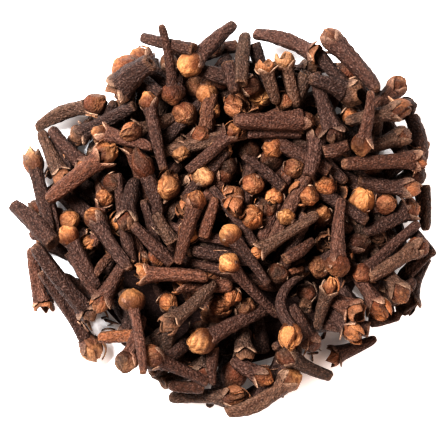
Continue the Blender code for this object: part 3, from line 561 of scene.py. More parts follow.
class HeightMap:
    """Top of the heap over a square grid, and which clove is uppermost in each cell."""

    def __init__(self):
        count = int(2 * MAP_REACH / CELL) + 1
        axis = np.linspace(-MAP_REACH, MAP_REACH, count)
        self.x, self.y = np.meshgrid(axis, axis, indexing="ij")
        self.top = np.round(core_height(self.x, self.y), 3)
        self.owner = np.full((count, count), -1)
        self.kept = np.zeros((count, count), dtype=bool)
        self.gap = np.zeros((count, count), dtype=bool)
        for gap_x, gap_y, radius in GAPS:
            self.gap |= (self.x - gap_x) ** 2 + (self.y - gap_y) ** 2 < radius**2

    def cells(self, x, y):
        """Grid indices of places."""
        column = np.rint((np.asarray(x) + MAP_REACH) / CELL).astype(int)
        row = np.rint((np.asarray(y) + MAP_REACH) / CELL).astype(int)
        return np.clip(column, 0, self.top.shape[0] - 1), np.clip(row, 0, self.top.shape[1] - 1)

    def footprint(self, clove):
        """Stations along a clove, the cells below it, and its half height over each."""
        share = np.linspace(0.02, 0.98, max(6, int(clove.plan_length / STATION)))
        places, radii = width_profile(clove)
        radius = np.interp(share, places, radii)
        across = np.array(ACROSS)
        run_x = clove.tip[0] - clove.tail[0]
        run_y = clove.tip[1] - clove.tail[1]
        length = clove.plan_length
        side = radius[:, None] * across[None, :] + clove.bow(share)[:, None]
        x = clove.tail[0] + share[:, None] * run_x - side * run_y / length
        y = clove.tail[1] + share[:, None] * run_y + side * run_x / length
        rise = radius[:, None] * np.sqrt(1.0 - across[None, :] ** 2)
        return share, radius, self.cells(x, y), rise

    def rest(self, clove):
        """Lower a lying clove until two points of it, either side of its middle, carry it."""
        share, radius, cells, rise = self.footprint(clove)
        needed = np.maximum((self.top[cells] + rise - SETTLE).max(axis=1), radius)
        needed = np.round(needed, 3)
        before = share <= BALANCE
        low_share, low_height = share[before][:, None], needed[before][:, None]
        high_share, high_height = share[~before][None, :], needed[~before][None, :]
        slope = (high_height - low_height) / (high_share - low_share)
        middle = low_height + slope * (BALANCE - low_share)
        low, high = np.unravel_index(np.argmax(np.round(middle, 3)), middle.shape)
        most = MAX_TILT * clove.plan_length
        tilt = float(np.clip(slope[low, high], -most, most))
        centre = float(middle[low, high])
        if abs(tilt) == most:
            centre = float(np.max(needed - tilt * (share - BALANCE))) - WEDGE
        clove.tail_z = centre - tilt * BALANCE
        clove.tip_z = centre + tilt * (1.0 - BALANCE)
        lift = max(0.0, clove.stem / 2 - clove.tail_z, clove.head_radius() - clove.tip_z)
        clove.tail_z += lift
        clove.tip_z += lift

    def spot(self, x, y):
        """Cells below a ball."""
        reach = np.array([-BALL_SPOT, 0.0, BALL_SPOT])
        return self.cells(x + reach[:, None] + 0.0 * reach, y + reach + 0.0 * reach[:, None])

    def ground(self, x, y):
        """Mean height of the heap where a ball would sit."""
        return float(np.round(self.top[self.spot(x, y)].mean(), 3))

    def blocked(self, x, y):
        """Share of a ball's place that kept cloves or a gap hold."""
        spot = self.spot(x, y)
        return float((self.kept[spot] | self.gap[spot]).mean())

    def cost(self, clove):
        """How far a clove would lie above the fill limit, more where it hides something or sticks out."""
        cells = self.footprint(clove)[2]
        x = (clove.tail[0] + clove.tip[0]) / 2
        y = (clove.tail[1] + clove.tip[1]) / 2
        height = max(clove.tail_z, clove.tip_z) + clove.head_radius()
        hidden = float(self.kept[cells].mean())
        open_share = float(self.gap[cells].mean())
        tilt = abs(clove.tip_z - clove.tail_z) / clove.plan_length
        outside = beyond_outline(clove.tail) + beyond_outline(clove.tip)
        cost = height - fill_limit(x, y) + TILT_COST * tilt + OUTSIDE_COST * outside
        return cost + HIDING_COST * hidden + GAP_COST * open_share

    def add(self, clove, number, keep):
        """Raise the map to a clove's upper side."""
        run_x = clove.tip[0] - clove.tail[0]
        run_y = clove.tip[1] - clove.tail[1]
        length = clove.plan_length
        reach = clove.head_radius() + abs(clove.bend)
        low = np.minimum(clove.tail, clove.tip) - reach
        high = np.maximum(clove.tail, clove.tip) + reach
        first = self.cells(*low)
        last = self.cells(*high)
        window = (slice(int(first[0]), int(last[0]) + 1), slice(int(first[1]), int(last[1]) + 1))
        x = self.x[window] - clove.tail[0]
        y = self.y[window] - clove.tail[1]
        along = (x * run_x + y * run_y) / length**2
        across = (x * run_y - y * run_x) / length + clove.bow(along)
        places, radii = width_profile(clove)
        radius = np.interp(along, places, radii)
        inside = (along > 0.0) & (along < 1.0) & (np.abs(across) < radius)
        rise = np.sqrt(np.maximum(radius**2 - across**2, 0.0))
        surface = clove.tail_z + (clove.tip_z - clove.tail_z) * along + rise
        higher = inside & (surface > self.top[window])
        self.top[window][higher] = surface[higher]
        self.owner[window][higher] = number
        if keep:
            self.kept[window][higher] = True


def random_kind(draw, weights):
    """Choose a colour and a kind, and a ball diameter to suit."""
    kind = draw.choices(tuple(weights), weights=tuple(weights.values()))[0]
    colour = draw.choices(tuple(COLOUR_WEIGHTS), weights=tuple(COLOUR_WEIGHTS.values()))[0]
    ball = 0.0 if kind == "stem" else draw.gauss(BALL_DIAMETER, BALL_SPREAD)
    return f"{colour} {kind}", ball


def random_place(draw):
    """Choose a place in the heap, as likely anywhere."""
    radius = FILL_RADIUS * math.sqrt(draw.random())
    place = draw.uniform(0.0, 2 * math.pi)
    return radius * math.cos(place), radius * math.sin(place)


def ends(x, y, heading, length):
    """Tail and tip of a clove, from its middle, its heading and its length."""
    half_x = length / 2 * math.cos(heading)
    half_y = length / 2 * math.sin(heading)
    return (x - half_x, y - half_y), (x + half_x, y + half_y)


def random_clove(draw):
    """Make a loose clove somewhere in the heap."""
    x, y = random_place(draw)
    heading = draw.uniform(0.0, 2 * math.pi)
    length = draw.gauss(CLOVE_LENGTH, CLOVE_LENGTH_SPREAD)
    kind, ball = random_kind(draw, LOOSE_WEIGHTS)
    stem = draw.gauss(STEM_DIAMETER, STEM_SPREAD)
    return Clove(kind, *ends(x, y, heading, length), ball, stem)


def lay(heap, cloves, clove, keep=False):
    """Add a clove to the heap, numbered by its place in the list."""
    heap.add(clove, len(cloves), keep)
    cloves.append(clove)


def lay_rows(heap, cloves, rows):
    """Lay the cloves of a table, which the others keep clear of."""
    for row in rows:
        clove = lie(*row)
        heap.rest(clove)
        lay(heap, cloves, clove, keep=True)


def lay_loose(heap, cloves, draw, count, limit):
    """Lay loose cloves, each in the lowest of several places, while one stays below the limit."""
    for _ in range(count):
        options = []
        for _ in range(TRIES):
            clove = random_clove(draw)
            heap.rest(clove)
            options.append((round(heap.cost(clove), 3), clove))
        cost, clove = min(options, key=lambda option: option[0])
        if cost < limit:
            lay(heap, cloves, clove)


def lay_base(heap, cloves, draw):
    """Lay a ring of dark cloves flat under the edge of the heap, clear of its outline and its gaps; their
    dark colour is painted shade under the edge.
    """
    for number in range(BASE_CLOVES):
        turn = 2 * math.pi * number / BASE_CLOVES
        options = []
        for _ in range(TRIES):
            clove = random_clove(draw)
            radius = draw.uniform(*BASE_RING)
            along_x = radius * math.cos(turn) - (clove.tail[0] + clove.tip[0]) / 2
            along_y = radius * math.sin(turn) - (clove.tail[1] + clove.tip[1]) / 2
            tail = (clove.tail[0] + along_x, clove.tail[1] + along_y)
            tip = (clove.tip[0] + along_x, clove.tip[1] + along_y)
            # Painted shade: each clove under the edge takes the colour word dark
            clove = Clove("dark " + clove.kind.split()[1], tail, tip, clove.ball, clove.stem)
            heap.rest(clove)
            options.append((round(heap.cost(clove), 3), clove))
        clove = min(options, key=lambda option: option[0])[1]
        lay(heap, cloves, clove)


def stand(kind, x, y, side, ball, tip_z):
    """Make a clove that stands head up, with its tail sunk in the heap towards one side."""
    drop = min(UPRIGHT_LENGTH * UPRIGHT_DROP, tip_z - UPRIGHT_TAIL)
    lean = math.sqrt(UPRIGHT_LENGTH**2 - drop**2)
    out_x = math.cos(math.radians(side))
    out_y = math.sin(math.radians(side))
    over = ball / 2 * lean / UPRIGHT_LENGTH
    tip = (x - out_x * over, y - out_y * over)
    tail = (tip[0] + out_x * lean, tip[1] + out_y * lean)
    clove = Clove(kind, tail, tip, ball, UPRIGHT_STEM)
    clove.tip_z = tip_z
    clove.tail_z = tip_z - drop
    return clove


def lay_plugs(heap, cloves, draw, count):
    """Stand loose cloves head up in the deepest holes."""
    for _ in range(count):
        places = [random_place(draw) for _ in range(TRIES)]
        depths = [heap.ground(x, y) - fill_limit(x, y) + HIDING_COST * heap.blocked(x, y) for x, y in places]
        depths = [round(depth, 3) for depth in depths]
        x, y = places[depths.index(min(depths))]
        kind, ball = random_kind(draw, PLUG_WEIGHTS)
        clove = stand(kind, x, y, draw.uniform(0.0, 360.0), ball, heap.ground(x, y) + UPRIGHT_RISE * ball)
        lay(heap, cloves, clove)


def lay_heap():
    """Lay the whole heap and give its height map and its cloves."""
    draw = random.Random(SEED)
    heap = HeightMap()
    cloves = []
    lay_base(heap, cloves, draw)
    lay_rows(heap, cloves, EDGE_CLOVES)
    lay_loose(heap, cloves, draw, UNDER_CLOVES, UNDER_LIMIT)
    for kind, x, y, side, ball in UPRIGHT_CLOVES:
        tip_z = max(heap.ground(x, y) + UPRIGHT_RISE * ball, fill_limit(x, y) - UPRIGHT_BELOW_FILL)
        clove = stand(kind, x, y, side, ball, tip_z)
        lay(heap, cloves, clove, keep=True)
    lay_rows(heap, cloves, TOP_CLOVES)
    lay_plugs(heap, cloves, draw, PLUG_CLOVES)
    lay_loose(heap, cloves, draw, LAST_CLOVES, LAST_LIMIT)
    return heap, cloves


def wrinkles(draw, along, angle, turns, pitch, count=7):
    """Rounded folds with sharp creases between them, about -1 to 1, over a surface's length and angle."""
    total = np.zeros(np.broadcast(along, angle).shape)
    weight = 0.0
    for _ in range(count):
        round_count = draw.randint(*turns)
        slope = draw.uniform(*pitch) * draw.choice((-1.0, 1.0))
        phase = draw.uniform(0.0, 2 * math.pi)
        size = draw.uniform(0.5, 1.0)
        fold = np.abs(np.sin(0.5 * (round_count * angle + slope * along + phase)))
        total = total + size * (2.0 * fold - 1.27)
        weight += size
    return 2.2 * total / weight


def blend(low, high, share):
    """Mix two colours, with one share for each vertex."""
    share = np.asarray(share)[..., None]
    return np.asarray(low) * (1.0 - share) + np.asarray(high) * share


def hump(place, middle, width):
    """Smooth bump, 1 at its middle."""
    return np.exp(-(((place - middle) / width) ** 2))


def angles(columns):
    """Angles of the columns round a shape."""
    return (2 * math.pi * np.arange(columns) / columns)[None, :]


def shares(rows):
    """Places of the rows along a shape, from 0 to 1."""
    return np.linspace(0.0, 1.0, rows)[:, None]


def round_axis(x, reach, polar, turn):
    """Places at a polar angle from the X axis and a turn round it."""
    away = reach * np.sin(polar)
    return x + reach * np.cos(polar), away * np.cos(turn), away * np.sin(turn)


def grid_faces(rows, columns):
    """Quads between the rows of a grid that closes round each row."""
    row = np.arange(rows - 1)[:, None] * columns
    column = np.arange(columns)[None, :]
    after = (column + 1) % columns
    corners = (row + column, row + after, row + columns + after, row + columns + column)
    return np.stack(corners, axis=-1).reshape(-1, 4)


def grid(x, y, z, tone):
    """Vertices, their colours and the quads of a shape laid out as a grid."""
    points = np.stack(np.broadcast_arrays(x, y, z), axis=-1)
    tone = np.broadcast_to(tone, points.shape)
    return points.reshape(-1, 3), tone.reshape(-1, 3), grid_faces(*points.shape[:2])


class Surface:
    """Vertices, faces, colours and own coordinates of the shapes joined in one piece."""

    def __init__(self):
        self.vertices = []
        self.colours = []
        self.own = []
        self.faces = []
        self.count = 0

    def add(self, vertices, colours, own, faces, grain):
        """Join one more shape."""
        self.vertices.append(vertices)
        self.colours.append(np.column_stack([colours, np.full(len(vertices), grain)]))
        self.own.append(own)
        self.faces.append(faces + self.count)
        self.count += len(vertices)


def is_bare(clove):
    """Whether a clove is a stem without a head."""
    return clove.kind.split()[1] in BARE_KINDS


def neck_place(clove, length):
    """Where the stem ends: inside the head, or at the clove's end where it has none."""
    return length if is_bare(clove) else length - NECK_IN_HEAD * clove.ball / 2


def stem_rows(clove, draw, rows, neck):
    """Places of a stem's sections as shares of its length, close together where its tail rounds off."""
    rounding = CUT_TAIL
    if draw.random() < ROUNDED_TAILS:
        rounding = draw.uniform(*TAIL_ROUNDING) * clove.stem / 2 / neck
    tail = (0.0, 0.0, 0.12, 0.45)
    share = np.concatenate((tail, np.linspace(1.0, 1.0 / rounding, rows - 6)))
    return np.concatenate((share * rounding, [1.0, 1.0]))[:, None]


def stem_shape(clove, draw, detail, length, colour):
    """Tapered, slightly four-sided, wrinkled stem along X, closed at the tail and at the neck."""
    rows, columns = detail["stem"]
    bare = is_bare(clove)
    neck = neck_place(clove, length)
    share = stem_rows(clove, draw, rows, neck)
    angle = angles(columns)
    radius = clove.stem / 2
    taper = TAIL_TAPER + (1.0 - TAIL_TAPER) * np.clip(share / draw.uniform(*FULL_WIDTH), 0.0, 1.0) ** 0.8
    widening = np.clip((share - FLARE_FROM) / (1.0 - FLARE_FROM), 0.0, 1.0) ** 1.5
    flare = 0.0 if bare else draw.uniform(*FLARE) * widening
    pinch = 0.05 * np.sin(share * draw.uniform(4.0, 8.0) + draw.uniform(0.0, 6.0))
    closing = np.ones_like(share)
    closing[:4, 0] = TAIL_CLOSING
    closing[-3:, 0] = CUT_CLOSING if bare else NECK_CLOSING
    along = share * neck
    folds = wrinkles(draw, along, angle, **STEM_FOLDS)
    pebbles = wrinkles(draw, along, angle, **STEM_PEBBLES)
    corners = FOUR_SIDED * np.cos(4 * (angle - math.pi / 4))
    reach = radius * (taper + flare + pinch) * closing * (1.0 + corners + 0.08 * folds + 0.05 * pebbles)
    sink = 0.35 * draw.uniform(0.4, 1.4) * radius
    along[0] += sink
    if bare:
        along[-1] -= sink
    # Painted shade and highlight: a stem is darker and redder in the creases of its folds and pebbles, and
    # paler on their ridges
    shade = np.clip(0.58 + 0.40 * folds + 0.16 * pebbles, 0.0, 1.5)
    tone = np.asarray(colour) * (0.55 + 0.75 * shade[..., None]) ** np.asarray(FOLD_SHADE_HUES)
    ends = np.clip(1.0 - along / 0.9, 0.0, 1.0) * draw.uniform(0.0, 0.35)
    if bare:
        ends = ends + np.clip(1.0 - (length - along) / 0.7, 0.0, 1.0) * draw.uniform(0.1, 0.5)
    tone = blend(tone, RIM_COLOUR, ends)
    tone[[0, -1]] *= END_SHADE
    return grid(along, reach * np.cos(angle), reach * np.sin(angle), tone)


def petal_flats(draw, polar, angle, seam_turn):
    """How far a ball reaches in each direction, in radii, where each of its petals is flattened."""
    limit = np.ones(np.broadcast(polar, angle).shape)
    for petal in range(PETALS):
        turn = (petal + 0.5) * 2 * math.pi / PETALS - seam_turn + draw.uniform(-0.25, 0.25)
        lean = draw.uniform(*PETAL_LEAN)
        flat = draw.uniform(*PETAL_FLAT)
        facing = np.cos(polar) * math.cos(lean) + np.sin(polar) * math.sin(lean) * np.cos(angle - turn)
        limit = limit + (np.maximum(facing, 0.05) / flat) ** PETAL_SOFTNESS
    return limit ** (-1.0 / PETAL_SOFTNESS)


def ball_tone(draw, colour, polar, angle, shade, seam, rim, folds, lines):
    """Colour of a ball: a painted highlight on the raised places and petal rims, red-brown in the seams, and
    painted shade in the creases and towards the stem.
    """
    patch = wrinkles(draw, 2.0 * polar, angle, **HEAD_PATCHES)
    # Painted shade: a head darkens towards its stem and in the creases of its folds; its seams and random
    # patches darken it too
    low = np.clip((polar / math.pi - 0.26 + 0.05 * folds) / 0.36, 0.0, 1.0)
    dark = 0.80 * seam + 0.78 * low + 0.25 * np.clip(-folds, 0.0, 1.0) + 0.55 * np.clip(patch, 0.0, 1.0)
    # Painted highlight: raised lines and petal rims lighten a head, as do random patches
    light = shade * (1.0 + 0.16 * lines + 0.20 * patch + 0.45 * rim)
    tone = blend(colour, SEAM_AND_SHADE_COLOUR, np.clip(dark, 0.0, 0.92)) * light[..., None]
    # Painted highlight: raised lines, petal rims and fold tops blend towards a pale colour, fading out
    # towards the stem
    painted_highlight = np.clip(0.16 + 0.40 * lines + 0.60 * rim + 0.20 * folds, 0.0, 1.0) * (1.0 - low)
    pale = np.asarray(HIGHLIGHT_COLOUR) * min(1.0, colour[0] / HIGHLIGHT_COLOUR[0] * 1.6)
    return np.clip(blend(tone, 0.5 * colour + 0.5 * pale, 0.8 * painted_highlight), *TONE_RANGE)


def ball_shape(clove, draw, detail, length, colour, kind):
    """Ball of four overlapping petals along X, drawn out in a bud, squashed in a crumpled head."""
    rows, columns = detail["ball"]
    radius = clove.ball / 2
    polar = np.linspace(0.0, math.pi * BALL_END, rows)[:, None]
    angle = angles(columns)
    twist = draw.uniform(-0.5, 0.5)
    seam_turn = draw.uniform(0.0, 1.5)
    petal = ((angle + twist * np.cos(polar) * 1.2 + seam_turn) * PETALS / (2 * math.pi)) % PETALS
    lap = petal % 1.0
    upper = np.clip(1.25 - polar / (0.62 * math.pi), 0.0, 1.0)
    step = np.array([draw.uniform(0.2, 1.0) for _ in range(PETALS)])[petal.astype(int)]
    shade = np.array([draw.uniform(0.55, 1.25) for _ in range(PETALS)])[petal.astype(int)]
    lifted = (0.03 + 0.05 * draw.random()) * (lap**1.5 - 0.35) * upper * step * 1.6
    seam = hump(np.minimum(lap, 1.0 - lap), 0.0, SEAM_WIDTH) * upper * step
    rim = hump(lap, PETAL_RIM, PETAL_RIM_WIDTH) * upper * step
    dimple = draw.uniform(0.0, 0.12) * hump(polar, 0.0, 0.3)
    folds = wrinkles(draw, 3.0 * polar, angle, **HEAD_FOLDS)
    lines = wrinkles(draw, 3.0 * polar, angle, **HEAD_LINES)
    rough = ROUGHNESS[kind] * draw.uniform(0.6, 1.5)
    flats = petal_flats(draw, polar, angle, seam_turn + 0.6 * twist)
    reach = radius * flats * (1.06 + lifted - dimple - 0.05 * seam + rough * folds + 0.4 * rough * lines)
    squash_y = draw.uniform(*SQUASH)
    squash_z = draw.uniform(*SQUASH)
    if kind == "crumpled":
        squash_y = draw.uniform(*CRUMPLED_SQUASH)
    stretch = draw.uniform(*STRETCH)
    back = 1.0
    tip = np.clip(np.cos(polar), 0.0, 1.0)
    if kind == "bud":
        stretch = BUD_STRETCH
        back = BUD_BACK
        reach = reach * (1.0 - 0.22 * tip**0.8 * (np.sin(polar) > 0.0))
    x = length - radius * back + reach * np.cos(polar) * stretch
    if kind == "bud":
        x = x + 0.30 * radius * tip**8
    y = reach * np.sin(polar) * np.cos(angle) * squash_y
    z = reach * np.sin(polar) * np.sin(angle) * squash_z
    return grid(x, y, z, ball_tone(draw, colour, polar, angle, shade, seam, rim, folds, lines))


def cup_shape(clove, draw, detail, length, colour):
    """What is left of the petals on an open head: a ragged cup, with painted shade darkening its inside and
    its base towards the stem.
    """
    rows, columns = detail["ball"]
    radius = clove.ball / 2
    angle = angles(columns)
    rim = 0.42 + 0.13 * wrinkles(draw, 0.0, angle, **CUP_NOTCHES) + draw.uniform(-0.06, 0.10)
    rim = np.clip(rim, *CUP_RIM)
    outer = np.linspace(BALL_END, 0.0, rows)[:, None]
    inner = shares(rows)
    polar_out = math.pi * (rim + (BALL_END - rim) * outer / BALL_END)
    polar_in = math.pi * (rim + (0.97 - rim) * inner)
    polar = np.concatenate([polar_out, polar_in])
    shell = np.concatenate([np.ones_like(polar_out), np.full_like(polar_in, CUP_INSIDE)])
    shell[rows:] -= 0.12 * inner
    folds = wrinkles(draw, 3.0 * polar, angle, **CUP_FOLDS)
    reach = radius * shell * (1.0 + 0.05 * folds) * 1.04
    x, y, z = round_axis(length - radius, reach, polar, angle)
    x[rows:] = np.maximum(x[rows:], length - radius * CUP_DEPTH)
    depth = np.concatenate([np.zeros_like(outer), 0.35 + 0.65 * inner])
    base = np.concatenate([outer, np.zeros_like(inner)])
    # Painted shade: the cup darkens in the creases of its folds, towards its base and deep inside, while its
    # rim is paler
    tone = blend(colour, RIM_COLOUR, np.clip(0.5 - base, 0.0, 0.5)) * (1.0 + 0.25 * folds)[..., None]
    tone = tone * (1.0 - 0.55 * base)[..., None]
    tone = blend(tone, INSIDE_SHADE_COLOUR, np.clip(depth, 0.0, 1.0))
    return grid(x, y, z, np.clip(tone, *TONE_RANGE))


def sepal_shape(stem, draw, rows, neck, turn, leans, reach, colour):
    """One triangular sepal that leans out from the neck and curls over to its second lean at its tip."""
    share = shares(rows)
    angle = angles(LEAF_SIDES)
    lean = leans[0] * (1.0 - share) + leans[1] * share
    middle_lean = 0.5 * (lean[1:] + lean[:-1])
    step = reach / (rows - 1)
    run = np.vstack(([[0.0]], np.cumsum(step * np.cos(middle_lean), axis=0)))
    out = np.vstack(([[0.0]], np.cumsum(step * np.sin(middle_lean), axis=0)))
    wide = stem * 0.40 * (1.0 - share**1.6) ** 0.6 + 0.05
    thick = stem * 0.10 * (1.0 - share) ** 0.5 + 0.05
    side = wide * np.cos(angle)
    rise = thick * np.sin(angle) + 0.16 * side**2 / (stem / 2) * draw.uniform(0.2, 1.6)
    x = neck + run + rise * np.sin(lean)
    radial = stem * 0.47 + out - rise * np.cos(lean)
    side = side + draw.uniform(-0.25, 0.25) * share
    y = radial * np.cos(turn) - side * np.sin(turn)
    z = radial * np.sin(turn) + side * np.cos(turn)
    edge = np.clip(0.7 * np.abs(np.cos(angle)) ** 4 + share**2 * 0.7, 0.0, 1.0) * draw.uniform(0.2, 0.9)
    tone = blend(colour, EDGE_COLOUR, edge * np.clip(share * 3.0, 0.0, 1.0)) * draw.uniform(0.75, 1.15)
    return grid(x, y, z, tone)


def flake_shape(clove, draw, detail, length, colour):
    """One loose curled petal on a crumpled head."""
    radius = clove.ball / 2 * draw.uniform(0.95, 1.12)
    centre_turn = draw.uniform(0.0, 2 * math.pi)
    share = shares(detail["sepal"] + 1)
    angle = angles(LEAF_SIDES)
    polar = math.pi * (0.62 - draw.uniform(0.35, 0.6) * share)
    wide = draw.uniform(0.45, 0.75) * np.sin(math.pi * np.clip(0.18 + 0.8 * share, 0.0, 1.0)) ** 0.7
    lift = 1.0 + draw.uniform(0.0, 0.35) * share**2
    reach = radius * lift * (1.0 + 0.045 * np.sin(angle))
    turn = centre_turn + wide * np.cos(angle) + draw.uniform(-0.4, 0.4) * share
    edge = np.clip(np.abs(np.cos(angle)) ** 4 * 0.6 + share * 0.4, 0.0, 1.0)
    tone = blend(colour, RIM_COLOUR, 0.6 * edge) * draw.uniform(0.7, 1.25)
    return grid(*round_axis(length - clove.ball / 2, reach, polar, turn), tone)


def stamen_shape(draw, foot, turn, away):
    """One short stamen or the style, standing in an open head."""
    rows, columns = STAMEN_GRID
    share = shares(rows)
    angle = angles(columns)
    size = draw.uniform(0.13, 0.24) * (1.0 - 0.5 * share)
    size[-1] = 0.02
    tall = draw.uniform(0.6, 1.3)
    bow = draw.uniform(-0.3, 0.5) * share**2
    y = (away + bow) * math.cos(turn) + size * np.cos(angle)
    z = (away + bow) * math.sin(turn) + size * np.sin(angle)
    return grid(foot + tall * share, y, z, blend(STEM_COLOURS[0], RIM_COLOUR, 0.7 * share))


def sepal_shapes(clove, draw, detail, neck, kind, colour):
    """The sepals round a head, less those that broke off."""
    shapes = []
    for quarter in range(SEPALS):
        if draw.random() < SEPALS_LOST:
            continue
        turn = math.pi / 4 + quarter * math.pi / 2 + draw.uniform(-0.15, 0.15)
        leans = [draw.uniform(*lean) for lean in SEPAL_LEANS[kind]]
        reach = min(clove.ball / 2, SEPAL_REACH) * draw.uniform(*SEPAL_SPREAD)
        if kind == "open":
            reach = reach * OPEN_SEPALS
        sepal = sepal_shape(clove.stem, draw, detail["sepal"], neck - 0.25, turn, leans, reach, colour)
        shapes.append((*sepal, GRAIN["sepal"]))
    return shapes


def clove_shapes(clove, draw, detail, length):
    """All the shapes of one clove, in its own frame, each with its share of the grain."""
    colour_word, kind = clove.kind.split()
    ball_colour = np.array(COLOURS[colour_word]) * draw.uniform(*HEAD_SHADES)
    stem_colour = np.array(draw.choice(STEM_COLOURS)) * draw.uniform(*STEM_SHADES)
    if colour_word == "dark":
        stem_colour = stem_colour * STEM_DARK
    if kind == "twig":
        stem_colour = 0.5 * (stem_colour + ball_colour)
    if kind == "stem" and colour_word in ("tan", "orange"):
        stem_colour = stem_colour * 0.85 + ball_colour * 0.08
    shapes = [(*stem_shape(clove, draw, detail, length, stem_colour), GRAIN["stem"])]
    if is_bare(clove):
        return shapes
    neck = neck_place(clove, length)
    if kind == "open":
        shapes.append((*cup_shape(clove, draw, detail, length, ball_colour), GRAIN["cup"]))
        for _ in range(STAMENS if detail is FINE else 0):
            stamen = stamen_shape(draw, neck + 0.1, draw.uniform(0.0, 6.28), draw.uniform(0.2, 1.0))
            shapes.append((*stamen, GRAIN["stamen"]))
    else:
        grain = GRAIN["light ball" if colour_word in LIGHT_WORDS else "ball"]
        shapes.append((*ball_shape(clove, draw, detail, length, ball_colour, kind), grain))
    shapes.extend(sepal_shapes(clove, draw, detail, neck, kind, stem_colour * 1.4))
    if kind == "crumpled":
        for _ in range(draw.randint(*FLAKES)):
            shapes.append((*flake_shape(clove, draw, detail, length, ball_colour * 1.1), GRAIN["flake"]))
    return shapes


def add_clove(surface, clove, number, detail):
    """Shape one clove and join it to its piece, in place in the heap."""
    draw = random.Random(SEED * 1000 + number)
    tail = Vector((*clove.tail, clove.tail_z))
    run = Vector((*clove.tip, clove.tip_z)) - tail
    turn = run.to_track_quat("X", "Z").to_matrix().to_4x4()
    roll = np.array(Matrix.Rotation(math.radians(draw.uniform(-STEM_ROLL, STEM_ROLL)), 3, "X"))
    matrix = np.array(Matrix.Translation(tail - Vector((MIDDLE_X, MIDDLE_Y, 0.0))) @ turn)
    bend_y = clove.bend if clove.bend else draw.uniform(*STEM_BEND)
    bend_z = draw.uniform(*STEM_SAG)
    neck = neck_place(clove, run.length)
    shift = np.array([draw.uniform(-50.0, 50.0) for _ in range(3)])
    for points, tone, faces, grain in clove_shapes(clove, draw, detail, run.length):
        own = points + shift
        share = np.clip(points[:, 0] / neck, 0.0, 1.0)
        points = points @ roll.T
        points[:, 1] += bend_y * (1.0 - (2 * share - 1.0) ** 2)
        points[:, 2] += bend_z * (1.0 - (2 * share - 1.0) ** 2)
        placed = points @ matrix[:3, :3].T + matrix[:3, 3]
        placed[:, 2] = np.maximum(placed[:, 2], FLOOR_GAP)
        surface.add(placed * MM, tone, own, faces, grain)


def mean_height(heap):
    """The heap's height, averaged over a square round each cell."""
    height = heap.top
    steps = range(-SCRAP_HOLE, SCRAP_HOLE + 1)
    for axis in (0, 1):
        height = sum(np.roll(height, step, axis=axis) for step in steps) / len(steps)
    return height


def add_scraps(surface, heap):
    """Strew broken sepals over the heap's hollows and the floor in its gaps."""
    draw = random.Random(SEED + 2)
    hollows = np.argwhere((heap.owner >= 0) & (heap.top < mean_height(heap) - HOLLOW_DEPTH))
    floor_shows = (heap.owner < 0) & (core_height(heap.x, heap.y) < CORE_SHOWS)
    gaps = np.argwhere(floor_shows & (np.hypot(heap.x, heap.y) < GAP_REACH))
    for number in range(SCRAPS + GAP_SCRAPS):
        cell = tuple(draw.choice(hollows if number < SCRAPS else gaps))
        wide = draw.uniform(*SCRAP_WIDTH)
        long = draw.uniform(*SCRAP_LENGTH)
        colour = np.array(draw.choice((STEM_COLOURS[2], COLOURS["brown"], COLOURS["tan"], RIM_COLOUR)))
        leans = (draw.uniform(0.0, 0.5), draw.uniform(-0.5, 1.0))
        points, tone, faces = sepal_shape(wide, draw, FINE["sepal"], 0.0, 0.0, leans, long, colour)
        turn = Matrix.Rotation(draw.uniform(0.0, 6.28), 3, "Z")
        turn = turn @ Matrix.Rotation(draw.uniform(-0.6, 0.6), 3, "Y")
        own = points + 10.0 * number
        points = (points - points.mean(axis=0)) @ np.array(turn).T
        points += (heap.x[cell] - MIDDLE_X, heap.y[cell] - MIDDLE_Y, heap.top[cell] + SCRAP_LIFT)
        points[:, 2] = np.maximum(points[:, 2], FLOOR_GAP)
        surface.add(points * MM, tone, own, faces, SCRAP_GRAIN)


def covered(heap, clove):
    """Whether other cloves or the core's rim hide the floor all along a clove that lies on it."""
    wide = clove.head_radius()
    across = np.array((-wide, 0.0, wide))
    for share in np.linspace(0.0, 1.0, 9):
        middle = np.array(clove.tail) * (1.0 - share) + np.array(clove.tip) * share
        cells = np.ix_(*heap.cells(middle[0] + across, middle[1] + across))
        hidden = (heap.top[cells] > FLANK_COVER) | (core_height(heap.x[cells], heap.y[cells]) > CORE_SHOWS)
        if not hidden.all():
            return False
    return True


def flank_cloves(heap):
    """Cloves on the floor round the core, only where they don't show from above."""
    draw = random.Random(SEED + 3)
    cloves = []
    for number in range(FLANK_CLOVES):
        for _ in range(FLANK_TRIES):
            turn = 2 * math.pi * (number + draw.uniform(-0.5, 0.5)) / FLANK_CLOVES
            away = draw.uniform(*FLANK_RING)
            aim = turn + draw.uniform(0.0, 2 * math.pi)
            tail, tip = ends(away * math.cos(turn), away * math.sin(turn), aim, draw.uniform(*FLANK_LENGTH))
            kind = draw.choice(FLANK_KINDS)
            ball = 0.0 if kind.endswith("stem") else BALL_DIAMETER
            clove = Clove(kind, tail, tip, ball, STEM_DIAMETER * draw.uniform(0.9, 1.1))
            if covered(heap, clove):
                clove.tail_z = clove.stem / 2
                clove.tip_z = clove.head_radius()
                cloves.append(clove)
                break
    return cloves


